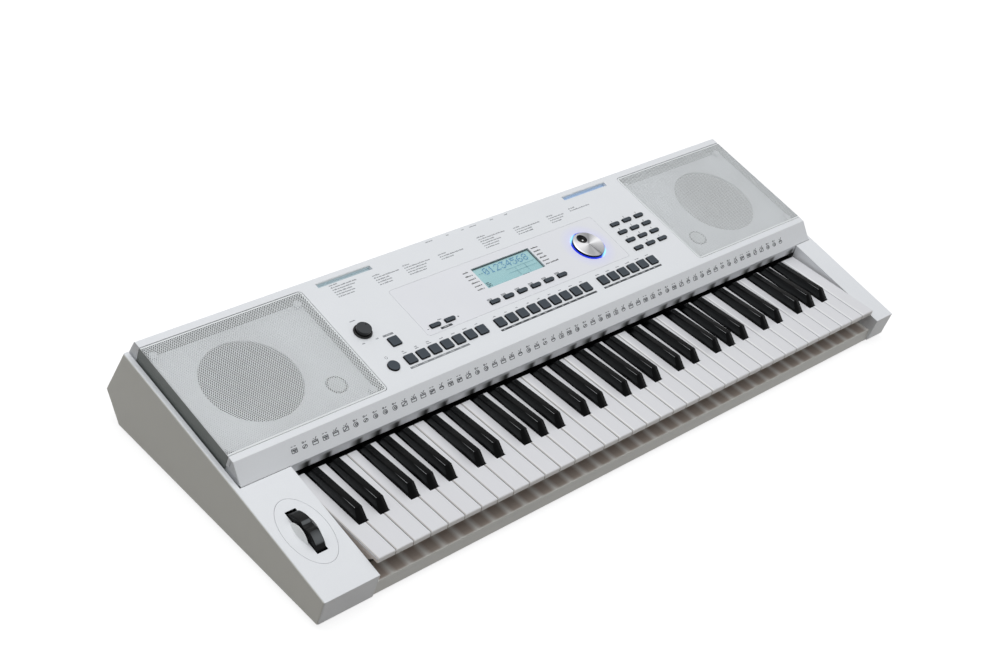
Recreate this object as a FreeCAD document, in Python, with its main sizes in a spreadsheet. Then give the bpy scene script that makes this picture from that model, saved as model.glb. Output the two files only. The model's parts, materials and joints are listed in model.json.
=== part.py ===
"""An arranger keyboard with 61 keys, as a parametric document in millimetres.

The frame has +X to the player's right, +Y to the back and +Z up, with the origin in the middle of
the box that bounds the instrument, on the surface that its feet stand on.
"""
import math
import os
import re

import FreeCAD
import Part
import Sketcher
from FreeCAD import Placement, Rotation, Vector

# Counts that the layout is built on
WHITE_KEYS = 36
OCTAVES = 5
NOTES_WITH_SHARP = {"c": "c_sharp", "d": "d_sharp", "f": "f_sharp", "g": "g_sharp", "a": "a_sharp"}
WHITE_NOTES = ["c", "d", "e", "f", "g", "a", "b"]

# Two points of the model closer than this, in millimetres, count as one
CLOSE = 0.01

# Driving sizes: name, millimetres or degrees, meaning
SIZES = [
    # Keys
    ("key_pitch", 23.5, "one white key to the next"),
    ("key_gap", 1.0, "gap between two white keys"),
    ("white_key_length", 137.0, "white key seen in front of the fallboard"),
    ("white_lip", 6.0, "height of a white key's front lip"),
    ("lip_depth", 7.0, "how far the shallow lip runs back"),
    ("lip_ramp", 8.0, "run of the ramp from the lip to the full side wall"),
    ("key_depth", 13.0, "height of a key's side walls"),
    ("key_wall", 1.8, "side and front wall of a hollow key"),
    ("key_top_wall", 2.5, "top wall of a hollow key"),
    ("key_nose_radius", 1.6, "rounding of a white key's front edge"),
    ("key_tail_drop", 4.0, "step down from a key's top to its tail"),
    ("key_pivot_reach", 190.0, "front of a white key to its pivot"),
    ("key_pivot_drop", 9.0, "top of a white key down to its pivot"),
    ("key_heel", 6.0, "tail behind the pivot"),
    ("key_bridge", 9.0, "solid stretch of the tail in front of the pivot"),
    ("black_key_start", 48.2, "front of a black key behind the front of the white ones"),
    ("black_key_height", 11.5, "top of a black key above the white ones"),
    ("black_key_width", 11.2, "black key at its foot"),
    ("black_top_width", 8.8, "black key at its top"),
    ("black_front_run", 11.5, "run of a black key's sloping front"),
    ("black_back_run", 8.0, "run of a black key's slope down to its tail"),
    ("black_edge_radius", 1.0, "rounding of a black key's top edges"),
    ("black_gap", 1.0, "gap between a black key and a white one"),
    ("cde_sharp_shift", 2.35, "how far C and D sharp stand apart from the joints below them"),
    ("fgab_sharp_shift", 3.0, "how far F and A sharp stand apart from the joints below them"),
    # Key bed
    ("blade_thickness", 1.5, "pivot blade of the key frame"),
    ("blade_clearance", 0.75, "slot to blade on each side"),
    ("pivot_clearance", 0.3, "slot roof above the blade"),
    ("frame_gauge", 2.0, "sheet of the key frame"),
    ("frame_lift", 10.0, "key frame above the underside of the case"),
    ("frame_start", 26.0, "key frame behind the key fronts"),
    ("felt_bed_width", 22.0, "raised front bed for the stop felt"),
    ("felt_bed_rise", 8.0, "rise of that bed"),
    ("felt_thickness", 3.0, "stop felt"),
    ("felt_inset", 3.0, "felt in from the edges of its bed"),
    ("contact_setback", 117.0, "middle of the contact strip behind the key fronts"),
    ("contact_board_width", 34.0, "contact board, front to back"),
    ("contact_post", 7.0, "ribs that carry the contact board"),
    ("board_gauge", 1.6, "thickness of every circuit board"),
    ("rubber_width", 13.0, "contact rubber, front to back"),
    ("rubber_height", 7.6, "contact rubber, height"),
    # Case
    ("body_depth", 376.2, "front to back over all"),
    ("left_cheek_width", 70.1, "block at the left of the keys"),
    ("right_cheek_width", 35.4, "block at the right of the keys"),
    ("cheek_gap", 2.9, "gap between a cheek and the nearest key"),
    ("foot_height", 6.0, "rubber foot"),
    ("foot_radius", 11.0, "rubber foot"),
    ("foot_inset", 70.0, "foot in from the ends"),
    ("foot_setback", 45.0, "foot in from the front and back of the underside"),
    ("key_top_height", 46.0, "top of the white keys above the underside"),
    ("front_overhang", 9.8, "nose of the cheeks in front of the keys"),
    ("nose_height", 33.9, "top of that nose above the underside"),
    ("nose_lean", 4.4, "underside of the nose behind its top"),
    ("ridge_height", 30.9, "parting ridge of the back above the underside"),
    ("bottom_inset", 25.8, "back edge of the underside in from the ridge"),
    ("wall", 3.0, "walls of the mouldings"),
    ("rim", 4.5, "rim round the hollow of a cheek's arm"),
    ("cheek_radius", 2.0, "outer edges of the cheeks"),
    ("deck_radius", 2.0, "back edge of the deck"),
    ("seam", 0.3, "gap at a parting line"),
    ("parting", 0.8, "rear wall of the upper case above the ridge"),
    ("deck_setback", 163.1, "front edge of the deck behind the key fronts"),
    ("deck_height", 84.25, "front edge of the deck above the underside"),
    ("deck_slope", 9.77, "slope of the deck in degrees"),
    ("deck_depth", 172.9, "deck from front edge to back edge"),
    ("deck_inset", 7.8, "end of the deck in from the end of the body"),
    ("arm_gap", 1.5, "arm of a cheek to the end of the deck"),
    ("rail_width", 7.0, "bright strip in front of the deck"),
    ("rail_drop", 0.35, "front edge of that strip below the deck"),
    ("fall_run", 20.1, "fallboard, front to back along the deck"),
    ("fall_drop", 17.6, "fallboard, height square to the deck"),
    ("fall_wall", 4.5, "fallboard, wall measured along the deck"),
    ("strip_drop", 11.8, "strip that hangs from the fallboard over the key tails"),
    ("strip_lead", 1.3, "lower edge of that strip in front of its upper edge"),
    ("lip_drop", 17.5, "lip of the cheeks below the back edge of the deck"),
    ("end_wall_drop", 38.0, "end walls under the deck"),
    ("slip_lead", 3.9, "front rail below the keys, in front of them"),
    ("slip_height", 16.0, "height of that rail"),
    ("slip_lean", 0.6, "top of the rail behind its foot"),
    ("ledge_depth", 22.0, "ledge of the rail behind the key fronts"),
    ("boss_radius", 4.5, "screw posts"),
    ("screw_radius", 1.5, "frame screws"),
    ("screw_head_radius", 3.5, "frame screws"),
    ("screw_head_height", 2.4, "frame screws"),
    ("screw_clearance", 0.3, "around the frame screws"),
    ("screw_front_row", 64.0, "front row of frame screws behind the key fronts"),
    ("screw_back_row", 160.0, "back row of frame screws behind the key fronts"),
    ("screw_end", 40.0, "outer frame screws in from the ends of the key bed"),
    # Loudspeakers
    ("grille_inner", 261.0, "inner edge of a grille from the middle of the deck"),
    ("grille_front", 1.4, "front edge of a grille behind the front edge of the deck"),
    ("grille_back", 162.8, "back edge of a grille"),
    ("grille_gauge", 1.0, "sheet of a grille"),
    ("grille_gap", 0.5, "gap round a grille"),
    ("grille_radius", 5.0, "inner corners of a grille"),
    ("well_depth", 10.0, "baffle below the deck"),
    ("speaker_inset", 88.3, "middle of a loudspeaker in from the end of the deck"),
    ("speaker_v", 82.0, "middle of a loudspeaker behind the front edge of the deck"),
    ("speaker_radius", 57.0, "opening for a loudspeaker"),
    ("speaker_rim", 7.0, "flange of a loudspeaker beyond its opening"),
    ("speaker_depth", 43.0, "loudspeaker behind the baffle"),
    ("magnet_radius", 35.0, "magnet of a loudspeaker"),
    ("magnet_height", 16.0, "magnet of a loudspeaker"),
    ("surround_width", 9.0, "rubber surround of a cone"),
    ("coil_radius", 14.0, "dust cap and voice coil"),
    ("cone_depth", 15.0, "cone from its rim to its dust cap"),
    ("tweeter_shift", 40.5, "middle of a tweeter from the inner edge of its grille"),
    ("tweeter_v", 37.5, "middle of a tweeter behind the front edge of the deck"),
    ("tweeter_radius", 12.6, "opening for a tweeter"),
    ("tweeter_depth", 13.0, "tweeter behind the baffle"),
    ("well_boss_inset", 11.0, "posts in the corners of the wells"),
    ("well_boss_height", 5.0, "posts in the corners of the wells"),
    # Buttons and dials on the deck
    ("button_width", 13.3, "square buttons"),
    ("button_depth", 13.0, "square buttons"),
    ("button_radius", 1.0, "corners of the square buttons"),
    ("button_rise", 2.2, "buttons above the deck"),
    ("button_gap", 0.35, "gap round a button"),
    ("button_flange", 1.0, "collar of a button under the deck, beyond its side"),
    ("flange_gauge", 1.5, "collar of a button"),
    ("button_travel", 1.2, "push of a button"),
    ("mat_gauge", 1.2, "rubber mat under the buttons"),
    ("row_v", 25.7, "row of square buttons behind the front edge of the deck"),
    ("row_pitch", 18.05, "square buttons in a row"),
    ("left_row_x", -209.2, "first button of the left row"),
    ("middle_row_x", -71.6, "first button of the middle row"),
    ("right_row_x", 103.2, "first button of the right row"),
    ("single_v", 55.0, "single square button behind the front edge of the deck"),
    ("oval_length", 15.2, "small buttons, round at the right end"),
    ("oval_depth", 5.6, "small buttons"),
    ("oval_pitch", 22.5, "small buttons in a row"),
    ("oval_v", 54.9, "small buttons below the display"),
    ("tempo_x", -148.3, "first of the two tempo buttons"),
    ("display_row_x", -54.3, "first of the six buttons below the display"),
    ("keypad_x", 193.4, "left column of the keypad"),
    ("keypad_v", 50.5, "front row of the keypad"),
    ("keypad_row_pitch", 15.25, "rows of the keypad"),
    ("power_x", -234.0, "round power button and volume knob"),
    ("power_radius", 7.2, "round power button"),
    ("knob_v", 82.0, "volume knob behind the front edge of the deck"),
    ("knob_radius", 9.0, "cap of the volume knob"),
    ("knob_foot_radius", 11.2, "foot of the volume knob"),
    ("knob_foot_height", 2.2, "foot of the volume knob"),
    ("knob_height", 7.2, "volume knob above the deck"),
    ("knob_draft", 0.3, "taper of the volume knob's side"),
    ("knob_lift", 0.5, "knob and dial above the deck"),
    ("dial_x", 128.9, "middle of the data dial"),
    ("dial_v", 80.7, "middle of the data dial"),
    ("dial_radius", 21.0, "data dial"),
    ("dial_height", 3.6, "data dial above the deck"),
    ("dial_bevel", 0.8, "bevel of the data dial's edge"),
    ("dial_ring_gap", 0.5, "data dial to the ring of light round it"),
    ("dial_ring_width", 1.6, "ring of light"),
    ("dial_ring_rise", 0.8, "ring of light above the deck"),
    ("dimple_shift_x", -3.0, "finger dimple from the middle of the dial"),
    ("dimple_shift_v", 10.5, "finger dimple from the middle of the dial"),
    ("dimple_radius", 6.0, "rim of the finger dimple"),
    ("dimple_depth", 1.8, "finger dimple"),
    ("stem_radius", 3.0, "stems of the dial and the knob"),
    ("stem_clearance", 0.06, "stem in its bush"),
    ("encoder_width", 14.0, "housings of the encoder and the volume control"),
    # Display
    ("inlay_left", -166.2, "left edge of the display panel"),
    ("inlay_right", 170.8, "right edge of the display panel"),
    ("inlay_front", 44.4, "front edge of the display panel"),
    ("inlay_back", 121.0, "back edge of the display panel"),
    ("inlay_gauge", 1.0, "display panel"),
    ("inlay_radius", 4.0, "corners of the display panel"),
    ("inlay_gap", 0.2, "gap round the display panel and its window"),
    ("window_left", -46.7, "left edge of the window"),
    ("window_right", 48.7, "right edge of the window"),
    ("window_front", 75.3, "front edge of the window"),
    ("window_back", 109.6, "back edge of the window"),
    ("window_gauge", 1.0, "window"),
    ("window_sink", 0.8, "window below the display panel"),
    ("lcd_border", 3.0, "display module beyond its window"),
    # Boards under the deck
    ("mat_front", 14.0, "front edge of the rubber mat"),
    ("mat_back", 111.0, "back edge of the rubber mat"),
    ("mat_half_width", 247.0, "half width of the rubber mat"),
    ("panel_board_margin", 6.5, "panel board beyond the mat at each end"),
    ("board_boss_radius", 2.4, "posts that carry the panel board"),
    # Slots for the music rest
    ("slot_inner", 159.7, "inner end of a music rest slot from the middle"),
    ("slot_outer", 238.8, "outer end of a music rest slot"),
    ("slot_front", 158.0, "front edge of a music rest slot"),
    ("slot_back", 165.0, "back edge of a music rest slot"),
    ("slot_depth", 5.5, "depth of a music rest slot"),
    ("slot_wall", 2.0, "wall round a music rest slot"),
    # Rear sockets
    ("socket_drop", 40.0, "row of sockets below the back edge of the deck"),
    ("socket_first", -60.0, "first of the six sockets"),
    ("socket_pitch", 25.2, "sockets in the row"),
    ("socket_length", 24.0, "sockets behind the rear wall"),
    ("socket_width", 15.0, "housings of the sockets"),
    ("socket_height", 14.0, "housings of the sockets"),
    ("socket_gap", 0.2, "gap round a socket in the rear wall"),
    ("jack_bore", 3.25, "bore of a quarter inch jack"),
    ("jack_neck", 4.6, "neck of a jack through the rear wall"),
    ("jack_nut", 6.4, "round nut of a jack"),
    ("jack_nut_height", 2.0, "round nut of a jack"),
    ("jack_bore_depth", 22.0, "bore of a jack"),
    ("power_bore", 2.85, "bore of the power socket"),
    ("power_pin", 1.0, "pin of the power socket"),
    ("power_bore_depth", 9.5, "bore of the power socket"),
    ("usb_width", 8.6, "opening of the computer socket"),
    ("usb_height", 7.9, "opening of the computer socket"),
    ("usb_shell", 12.0, "shell of the computer socket"),
    ("usb_depth", 9.0, "opening of the computer socket"),
    ("jack_board_margin", 10.0, "socket board beyond the outer sockets"),
    # Main board
    ("main_board_width", 220.0, "main board, left to right"),
    ("main_board_depth", 84.0, "main board, front to back"),
    ("main_board_x", 20.0, "middle of the main board"),
    ("main_board_setback", 272.0, "middle of the main board behind the key fronts"),
    ("main_board_inset", 8.0, "posts of the main board in from its edges"),
    # Pitch wheel
    ("wheel_inset", 35.7, "middle of the pitch wheel from the left end"),
    ("wheel_reach", 78.2, "middle of the pitch wheel behind the nose"),
    ("wheel_radius", 28.0, "pitch wheel"),
    ("wheel_rise", 11.5, "pitch wheel above the cheek"),
    ("wheel_width", 12.4, "pitch wheel"),
    ("wheel_hub_radius", 7.0, "raised hub on each side of the wheel"),
    ("wheel_notch_radius", 9.0, "thumb notch in the wheel's rim"),
    ("wheel_notch_depth", 2.2, "thumb notch in the wheel's rim"),
    ("wheel_slot_width", 13.6, "slot for the wheel"),
    ("wheel_slot_length", 56.2, "slot for the wheel"),
    ("oval_plate_width", 51.0, "oval plate round the wheel"),
    ("oval_plate_length", 84.5, "oval plate round the wheel"),
    ("plate_flange", 3.0, "rim of the oval plate under the cheek"),
    ("plate_flange_gauge", 2.0, "rim of the oval plate"),
    ("axle_radius", 3.0, "axle of the pitch wheel"),
    ("bracket_gap", 2.0, "pitch wheel to its bracket"),
    ("bracket_gauge", 2.5, "walls of the bracket"),
    ("bracket_end_gap", 4.0, "rim of the wheel to the ends of the bracket"),
    ("bracket_foot", 7.0, "bracket below the axle"),
    ("potentiometer_radius", 8.5, "control on the wheel's axle"),
    ("potentiometer_height", 6.0, "control on the wheel's axle"),
]

# Places worked out from the sizes
PLACES = {
    "octave_pitch": "key_pitch * 7",
    "keybed_width": f"key_pitch * {WHITE_KEYS}",
    "body_width": "left_cheek_width + right_cheek_width + keybed_width + 2 * cheek_gap",
    "half_width": "body_width / 2",
    "left_inner": "left_cheek_width - half_width",
    "right_inner": "half_width - right_cheek_width",
    "keys_x": "left_inner + cheek_gap",
    "nose_y": "-body_depth / 2",
    "nose_z": "foot_height + nose_height",
    "key_front_y": "nose_y + front_overhang",
    "key_top_z": "foot_height + key_top_height",
    "ridge_y": "body_depth / 2",
    "ridge_z": "foot_height + ridge_height",
    "bottom_back_y": "ridge_y - bottom_inset",
    "deck_half": "half_width - deck_inset",
    "deck_y": "key_front_y + deck_setback",
    "deck_z": "foot_height + deck_height",
    "back_y": "deck_y + deck_depth * cos(deck_slope)",
    "back_z": "deck_z + deck_depth * sin(deck_slope)",
    "ridge_v": "(ridge_y - deck_y) * cos(deck_slope) + (ridge_z - deck_z) * sin(deck_slope)",
    "ridge_h": "(ridge_z - deck_z) * cos(deck_slope) - (ridge_y - deck_y) * sin(deck_slope)",
    "fall_v": "-rail_width - fall_run",
    "fall_h": "-rail_drop - fall_drop",
    "fall_y": "deck_y + fall_v * cos(deck_slope) - fall_h * sin(deck_slope)",
    "fall_z": "deck_z + fall_v * sin(deck_slope) + fall_h * cos(deck_slope)",
    "lip_z": "back_z - lip_drop",
    "lip_y": "back_y + (ridge_y - back_y) * lip_drop / (back_z - ridge_z)",
    "arm_width": "deck_inset - arm_gap",
    "block_back_y": "fall_y - seam",
    "block_top_z": "nose_z + (fall_z - nose_z) * (block_back_y - nose_y) / (fall_y - nose_y)",
    "cheek_slope": "atan((fall_z - nose_z) / (fall_y - nose_y))",
    "rear_tilt": "atan((ridge_y - back_y) / (back_z - ridge_z)) - 90deg",
    "rear_wall": "wall * cos(rear_tilt + 90deg - deck_slope * 1deg)",
    "deck_under": "-wall",
    "flange_top": "deck_under - seam",
    "flange_bottom": "flange_top - flange_gauge",
    "mat_top": "flange_bottom - button_travel - seam",
    "board_top": "mat_top - mat_gauge",
    "baffle_back": "-well_depth - wall",
    "speaker_x": "deck_half - speaker_inset",
    "tweeter_x": "grille_inner + tweeter_shift",
    "skirt_back": "deck_half - grille_gauge - seam",
    "dial_hole": "dial_radius + dial_ring_gap + dial_ring_width + seam",
    "stem_end": "board_top + seam",
    "bush_radius": "stem_radius + stem_clearance",
    "wheel_x": "wheel_inset - half_width",
    "axle_h": "wheel_rise - wheel_radius",
    "plate_under": "-wall - plate_flange_gauge",
    "bracket_half": "wheel_width / 2 + bracket_gap + bracket_gauge",
    "pivot_z": "-key_pivot_drop",
    "frame_base": "frame_lift - key_top_height",
    "rubber_base": "frame_base + frame_gauge + contact_post + board_gauge",
    "tail_end": "key_pivot_reach + key_heel",
    "socket_back": "-rear_wall - seam - socket_length",
}

doc = FreeCAD.newDocument("arranger_keyboard")
sheet = doc.addObject("Spreadsheet::Sheet", "Dim")
for row, (alias, size, meaning) in enumerate(SIZES, start=1):
    sheet.set(f"A{row}", meaning)
    sheet.set(f"B{row}", str(size))
    sheet.setAlias(f"B{row}", alias)
doc.recompute()
SIZE_NAMES = {alias for alias, size, meaning in SIZES}
sub_parts = []


def formula(text):
    """A formula in names of sizes and places, as one that reads the sheet's cells."""
    def expand(match):
        name = match.group(0)
        if name in PLACES:
            return "(" + formula(PLACES[name]) + ")"
        return "Dim." + name if name in SIZE_NAMES else name
    return re.sub(r"[a-z][a-z_0-9]*", expand, str(text))


def bind(item, **formulas):
    """Bind properties of a document object; a double underscore stands for a dot in a property's path."""
    for path, text in formulas.items():
        item.setExpression(path.replace("__", "."), formula(text))


def new_body(label):
    body = doc.addObject("PartDesign::Body", label)
    body.Label = label
    return body


def keep(item, label):
    """Hand in this object of the document as a sub-part with this name."""
    item.Label = label
    sub_parts.append(item)
    return item


def origin_feature(body, role):
    return next(item for item in body.Origin.OriginFeatures if item.Role == role)


def new_sketch(body, name, plane, lift):
    sketch = body.newObject("Sketcher::SketchObject", name)
    sketch.AttachmentSupport = [(origin_feature(body, plane), "")]
    sketch.MapMode = "FlatFace"
    bind(sketch, AttachmentOffset__Base__z=lift)
    return sketch


def fix_point(sketch, geometry, end, x, y):
    """Hold one point of a sketch at two formulas, counted from the sketch's origin."""
    point = sketch.getPoint(geometry, end)
    for kind, text, drawn in (("DistanceX", x, point.x), ("DistanceY", y, point.y)):
        if text is not None:
            index = sketch.addConstraint(Sketcher.Constraint(kind, -1, 1, geometry, end, drawn))
            sketch.setExpression(f"Constraints[{index}]", formula(text))


def fix_radius(sketch, geometry, radius):
    index = sketch.addConstraint(Sketcher.Constraint("Radius", geometry, 1.0))
    sketch.setExpression(f"Constraints[{index}]", formula(radius))


def add_outline(sketch, corners):
    """A closed outline of straight lines through corners given as pairs of formulas."""
    first = sketch.GeometryCount
    count = len(corners)
    for i in range(count):
        sketch.addGeometry(Part.LineSegment(Vector(i, i * i, 0), Vector(i + 1, (i + 1) ** 2, 0)), False)
    for i in range(count):
        sketch.addConstraint(Sketcher.Constraint("Coincident", first + i, 2, first + (i + 1) % count, 1))
    for i, (x, y) in enumerate(corners):
        fix_point(sketch, first + i, 1, x, y)


def add_rectangle(sketch, x0, y0, x1, y1):
    add_outline(sketch, [(x0, y0), (x1, y0), (x1, y1), (x0, y1)])


def add_disc(sketch, x, y, radius):
    index = sketch.addGeometry(Part.Circle(Vector(0, 0, 0), Vector(0, 0, 1), 1.0), False)
    fix_point(sketch, index, 3, x, y)
    fix_radius(sketch, index, radius)


def add_round_ended(sketch, x, y, length, depth):
    """A button's outline about (x, y): square at its left end, round at its right end."""
    left = f"{x} - ({length}) / 2"
    bend = f"{x} + ({length}) / 2 - ({depth}) / 2"
    front = f"{y} - ({depth}) / 2"
    back = f"{y} + ({depth}) / 2"
    lower = sketch.addGeometry(Part.LineSegment(Vector(-2, -1, 0), Vector(1, -1, 0)), False)
    circle = Part.Circle(Vector(1, 0, 0), Vector(0, 0, 1), 1.0)
    end = sketch.addGeometry(Part.ArcOfCircle(circle, -math.pi / 2, math.pi / 2), False)
    upper = sketch.addGeometry(Part.LineSegment(Vector(1, 1, 0), Vector(-2, 1, 0)), False)
    side = sketch.addGeometry(Part.LineSegment(Vector(-2, 1, 0), Vector(-2, -1, 0)), False)
    for one, other in ((lower, end), (end, upper), (upper, side), (side, lower)):
        sketch.addConstraint(Sketcher.Constraint("Coincident", one, 2, other, 1))
    fix_point(sketch, lower, 1, left, front)
    fix_point(sketch, lower, 2, bend, front)
    fix_point(sketch, upper, 1, bend, back)
    fix_point(sketch, upper, 2, left, back)
    fix_point(sketch, end, 3, bend, None)


def add_rounded(sketch, x0, y0, x1, y1, radius):
    """A rectangle with round corners."""
    left, right = f"{x0} + ({radius})", f"{x1} - ({radius})"
    front, back = f"{y0} + ({radius})", f"{y1} - ({radius})"
    starts = [(left, y0), (x1, front), (right, y1), (x0, back)]
    ends = [(right, y0), (x1, back), (left, y1), (x0, front)]
    drawn_starts = [(-1, -2), (2, -1), (1, 2), (-2, 1)]
    drawn_ends = [(1, -2), (2, 1), (-1, 2), (-2, -1)]
    middles = [(right, 1, -1), (right, 1, 1), (left, -1, 1), (left, -1, -1)]
    sides, corners = [], []
    for (ax, ay), (bx, by) in zip(drawn_starts, drawn_ends):
        sides.append(sketch.addGeometry(Part.LineSegment(Vector(ax, ay, 0), Vector(bx, by, 0)), False))
    for number, (text, x, y) in enumerate(middles):
        circle = Part.Circle(Vector(x, y, 0), Vector(0, 0, 1), 1.0)
        start = (number - 1) * math.pi / 2
        corners.append(sketch.addGeometry(Part.ArcOfCircle(circle, start, start + math.pi / 2), False))
    for number in range(4):
        following = sides[(number + 1) % 4]
        sketch.addConstraint(Sketcher.Constraint("Coincident", sides[number], 2, corners[number], 1))
        sketch.addConstraint(Sketcher.Constraint("Coincident", corners[number], 2, following, 1))
    for number in range(4):
        fix_point(sketch, sides[number], 1, *starts[number])
        fix_point(sketch, sides[number], 2, *ends[number])
        fix_point(sketch, corners[number], 3, middles[number][0], None)


def outline(body, name, plane, corners, lift="0"):
    sketch = new_sketch(body, name, plane, lift)
    add_outline(sketch, corners)
    return sketch


def rectangle(body, name, x0, y0, x1, y1, lift="0", plane="XY_Plane"):
    sketch = new_sketch(body, name, plane, lift)
    add_rectangle(sketch, x0, y0, x1, y1)
    return sketch


def rounded(body, name, x0, y0, x1, y1, radius, lift="0"):
    sketch = new_sketch(body, name, "XY_Plane", lift)
    add_rounded(sketch, x0, y0, x1, y1, radius)
    return sketch


def discs(body, name, centres, radius, lift="0", plane="XY_Plane"):
    sketch = new_sketch(body, name, plane, lift)
    for x, y in centres:
        add_disc(sketch, x, y, radius)
    return sketch


def pad(body, sketch, length):
    feature = body.newObject("PartDesign::Pad", sketch.Name + "_pad")
    feature.Profile = sketch
    bind(feature, Length=length)
    return feature


def pocket(body, sketch, depth):
    """Cut against the sketch's normal, and make sure that the cut meets the solid."""
    doc.recompute()
    before = body.Shape.Volume
    feature = body.newObject("PartDesign::Pocket", sketch.Name + "_pocket")
    feature.Profile = sketch
    bind(feature, Length=depth)
    doc.recompute()
    if not body.Shape.Volume < before:
        raise RuntimeError(f"{feature.Name} cuts nothing")
    return feature


def turned(body, name, corners):
    """A solid of revolution about the body's Z axis, from (radius, height) corners."""
    sketch = outline(body, name, "XZ_Plane", corners)
    feature = body.newObject("PartDesign::Revolution", name + "_turned")
    feature.Profile = sketch
    feature.ReferenceAxis = (sketch, ["V_Axis"])
    feature.Angle = 360.0
    return feature


def round_edges(body, name, radius, chosen):
    """Round the edges of a body that a test picks by their middle point and direction."""
    doc.recompute()
    base = body.Tip
    names = []
    for index, edge in enumerate(body.Tip.Shape.Edges, start=1):
        if not isinstance(edge.Curve, Part.Line):
            continue
        middle = (edge.Vertexes[0].Point + edge.Vertexes[1].Point) * 0.5
        if chosen(middle, edge.Curve.Direction):
            names.append(f"Edge{index}")
    feature = body.newObject("PartDesign::Fillet", name)
    feature.Base = (base, names)
    bind(feature, Radius=radius)
    return feature


def along(direction, axis):
    return abs(direction.dot(axis)) > 0.999


def place(item, x="0", y="0", z="0", turn="0"):
    """Put an object at formulas for its place, turned about X."""
    item.Placement = Placement(Vector(0, 0, 0), Rotation(Vector(1, 0, 0), 1.0))
    bind(item, Placement__Base__x=x, Placement__Base__y=y, Placement__Base__z=z)
    bind(item, Placement__Rotation__Angle=turn)


def place_on_deck(item, x="0", v="0"):
    """Put an object on the deck, with its own Z square to the deck and 0 at the deck's surface."""
    place(item, x, f"deck_y + ({v}) * cos(deck_slope)", f"deck_z + ({v}) * sin(deck_slope)", "deck_slope")


def place_on_cheek(item, x="0"):
    """Put an object on the sloping top of the cheeks, with its own Y running back from the nose."""
    place(item, x, "nose_y", "nose_z", "cheek_slope")


def place_on_rear(item, x="0"):
    """Put an object on the rear wall, with its own Z outwards and its own Y down the wall."""
    place(item, x, "back_y", "back_z", "rear_tilt")


def place_at_keys(item):
    """Put an object at the front, top, left corner of the white keys."""
    place(item, "keys_x", "key_front_y", "key_top_z")


def repeat_body(body, step, count):
    """Repeat the whole of a body along X."""
    pattern = body.newObject("PartDesign::LinearPattern", body.Name + "_row")
    pattern.TransformMode = "Whole shape"
    pattern.Direction = (origin_feature(body, "X_Axis"), [""])
    pattern.Occurrences = count
    bind(pattern, Length=f"({step}) * {count - 1}")
    body.Tip = pattern
    return pattern


# Keys

SHARP_CENTRES = {
    "c": "key_pitch - cde_sharp_shift",
    "d": "2 * key_pitch + cde_sharp_shift",
    "f": "4 * key_pitch - fgab_sharp_shift",
    "g": "5 * key_pitch",
    "a": "6 * key_pitch + fgab_sharp_shift",
}
SLOT_FRONT = "key_pivot_reach - blade_thickness / 2 - blade_clearance"
SLOT_BACK = "key_pivot_reach + blade_thickness / 2 + blade_clearance"
SLOT_ROOF = "-key_pivot_drop + pivot_clearance"


def white_plan(index, left_sharp, right_sharp, inset):
    """The sides of a white key: (front left, front right, tail left, tail right), drawn in by inset."""
    left = f"{index} * key_pitch + key_gap / 2 + ({inset})"
    right = f"{index + 1} * key_pitch - key_gap / 2 - ({inset})"
    reach = f"black_key_width / 2 + black_gap + ({inset})"
    tail_left = f"{SHARP_CENTRES[left_sharp]} + {reach}" if left_sharp else left
    tail_right = f"{SHARP_CENTRES[right_sharp]} - ({reach})" if right_sharp else right
    return left, right, tail_left, tail_right


def white_outline(index, left_sharp, right_sharp, front, back, inset):
    """Plan of a white key with the notches that its black neighbours need."""
    left, right, tail_left, tail_right = white_plan(index, left_sharp, right_sharp, inset)
    notch = f"black_key_start - black_gap - ({inset})"
    corners = [(left, front), (right, front)]
    if right_sharp:
        corners += [(right, notch), (tail_right, notch)]
    corners += [(tail_right, back), (tail_left, back)]
    if left_sharp:
        corners += [(tail_left, notch), (left, notch)]
    return corners


def white_key(label, index, left_sharp, right_sharp, count):
    """A hollow white key, repeated in each octave."""
    body = new_body(label)
    plan = white_outline(index, left_sharp, right_sharp, "0", "tail_end", "0")
    pad(body, outline(body, label + "_plan", "XY_Plane", plan, "-key_depth"), "key_depth")
    side = new_sketch(body, label + "_side", "YZ_Plane", f"{index + 1} * key_pitch")
    add_outline(side, [("-seam", "-white_lip"), ("lip_depth", "-white_lip"),
                       ("lip_depth + lip_ramp", "-key_depth"),
                       ("lip_depth + lip_ramp", "-key_depth - seam"), ("-seam", "-key_depth - seam")])
    add_rectangle(side, "white_key_length", "-key_tail_drop", "tail_end + seam", "seam")
    add_rectangle(side, SLOT_FRONT, "-key_depth - seam", SLOT_BACK, SLOT_ROOF)
    pocket(body, side, "key_pitch")
    hollow = white_outline(index, left_sharp, right_sharp, "key_wall", "white_key_length - key_wall",
                           "key_wall")
    pocket(body, outline(body, label + "_hollow", "XY_Plane", hollow, "-key_top_wall"), "key_depth")
    left, right, tail_left, tail_right = white_plan(index, left_sharp, right_sharp, "key_wall")
    tail = rectangle(body, label + "_tail", tail_left, "white_key_length - 2 * key_wall",
                     tail_right, "key_pivot_reach - key_bridge", "-key_tail_drop - key_top_wall")
    pocket(body, tail, "key_depth")
    round_edges(body, label + "_nose", "key_nose_radius",
                lambda middle, direction: along(direction, Vector(1, 0, 0))
                and abs(middle.y) < CLOSE and abs(middle.z) < CLOSE)
    if count > 1:
        repeat_body(body, "octave_pitch", count)
    place_at_keys(body)
    return keep(body, label)


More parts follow.
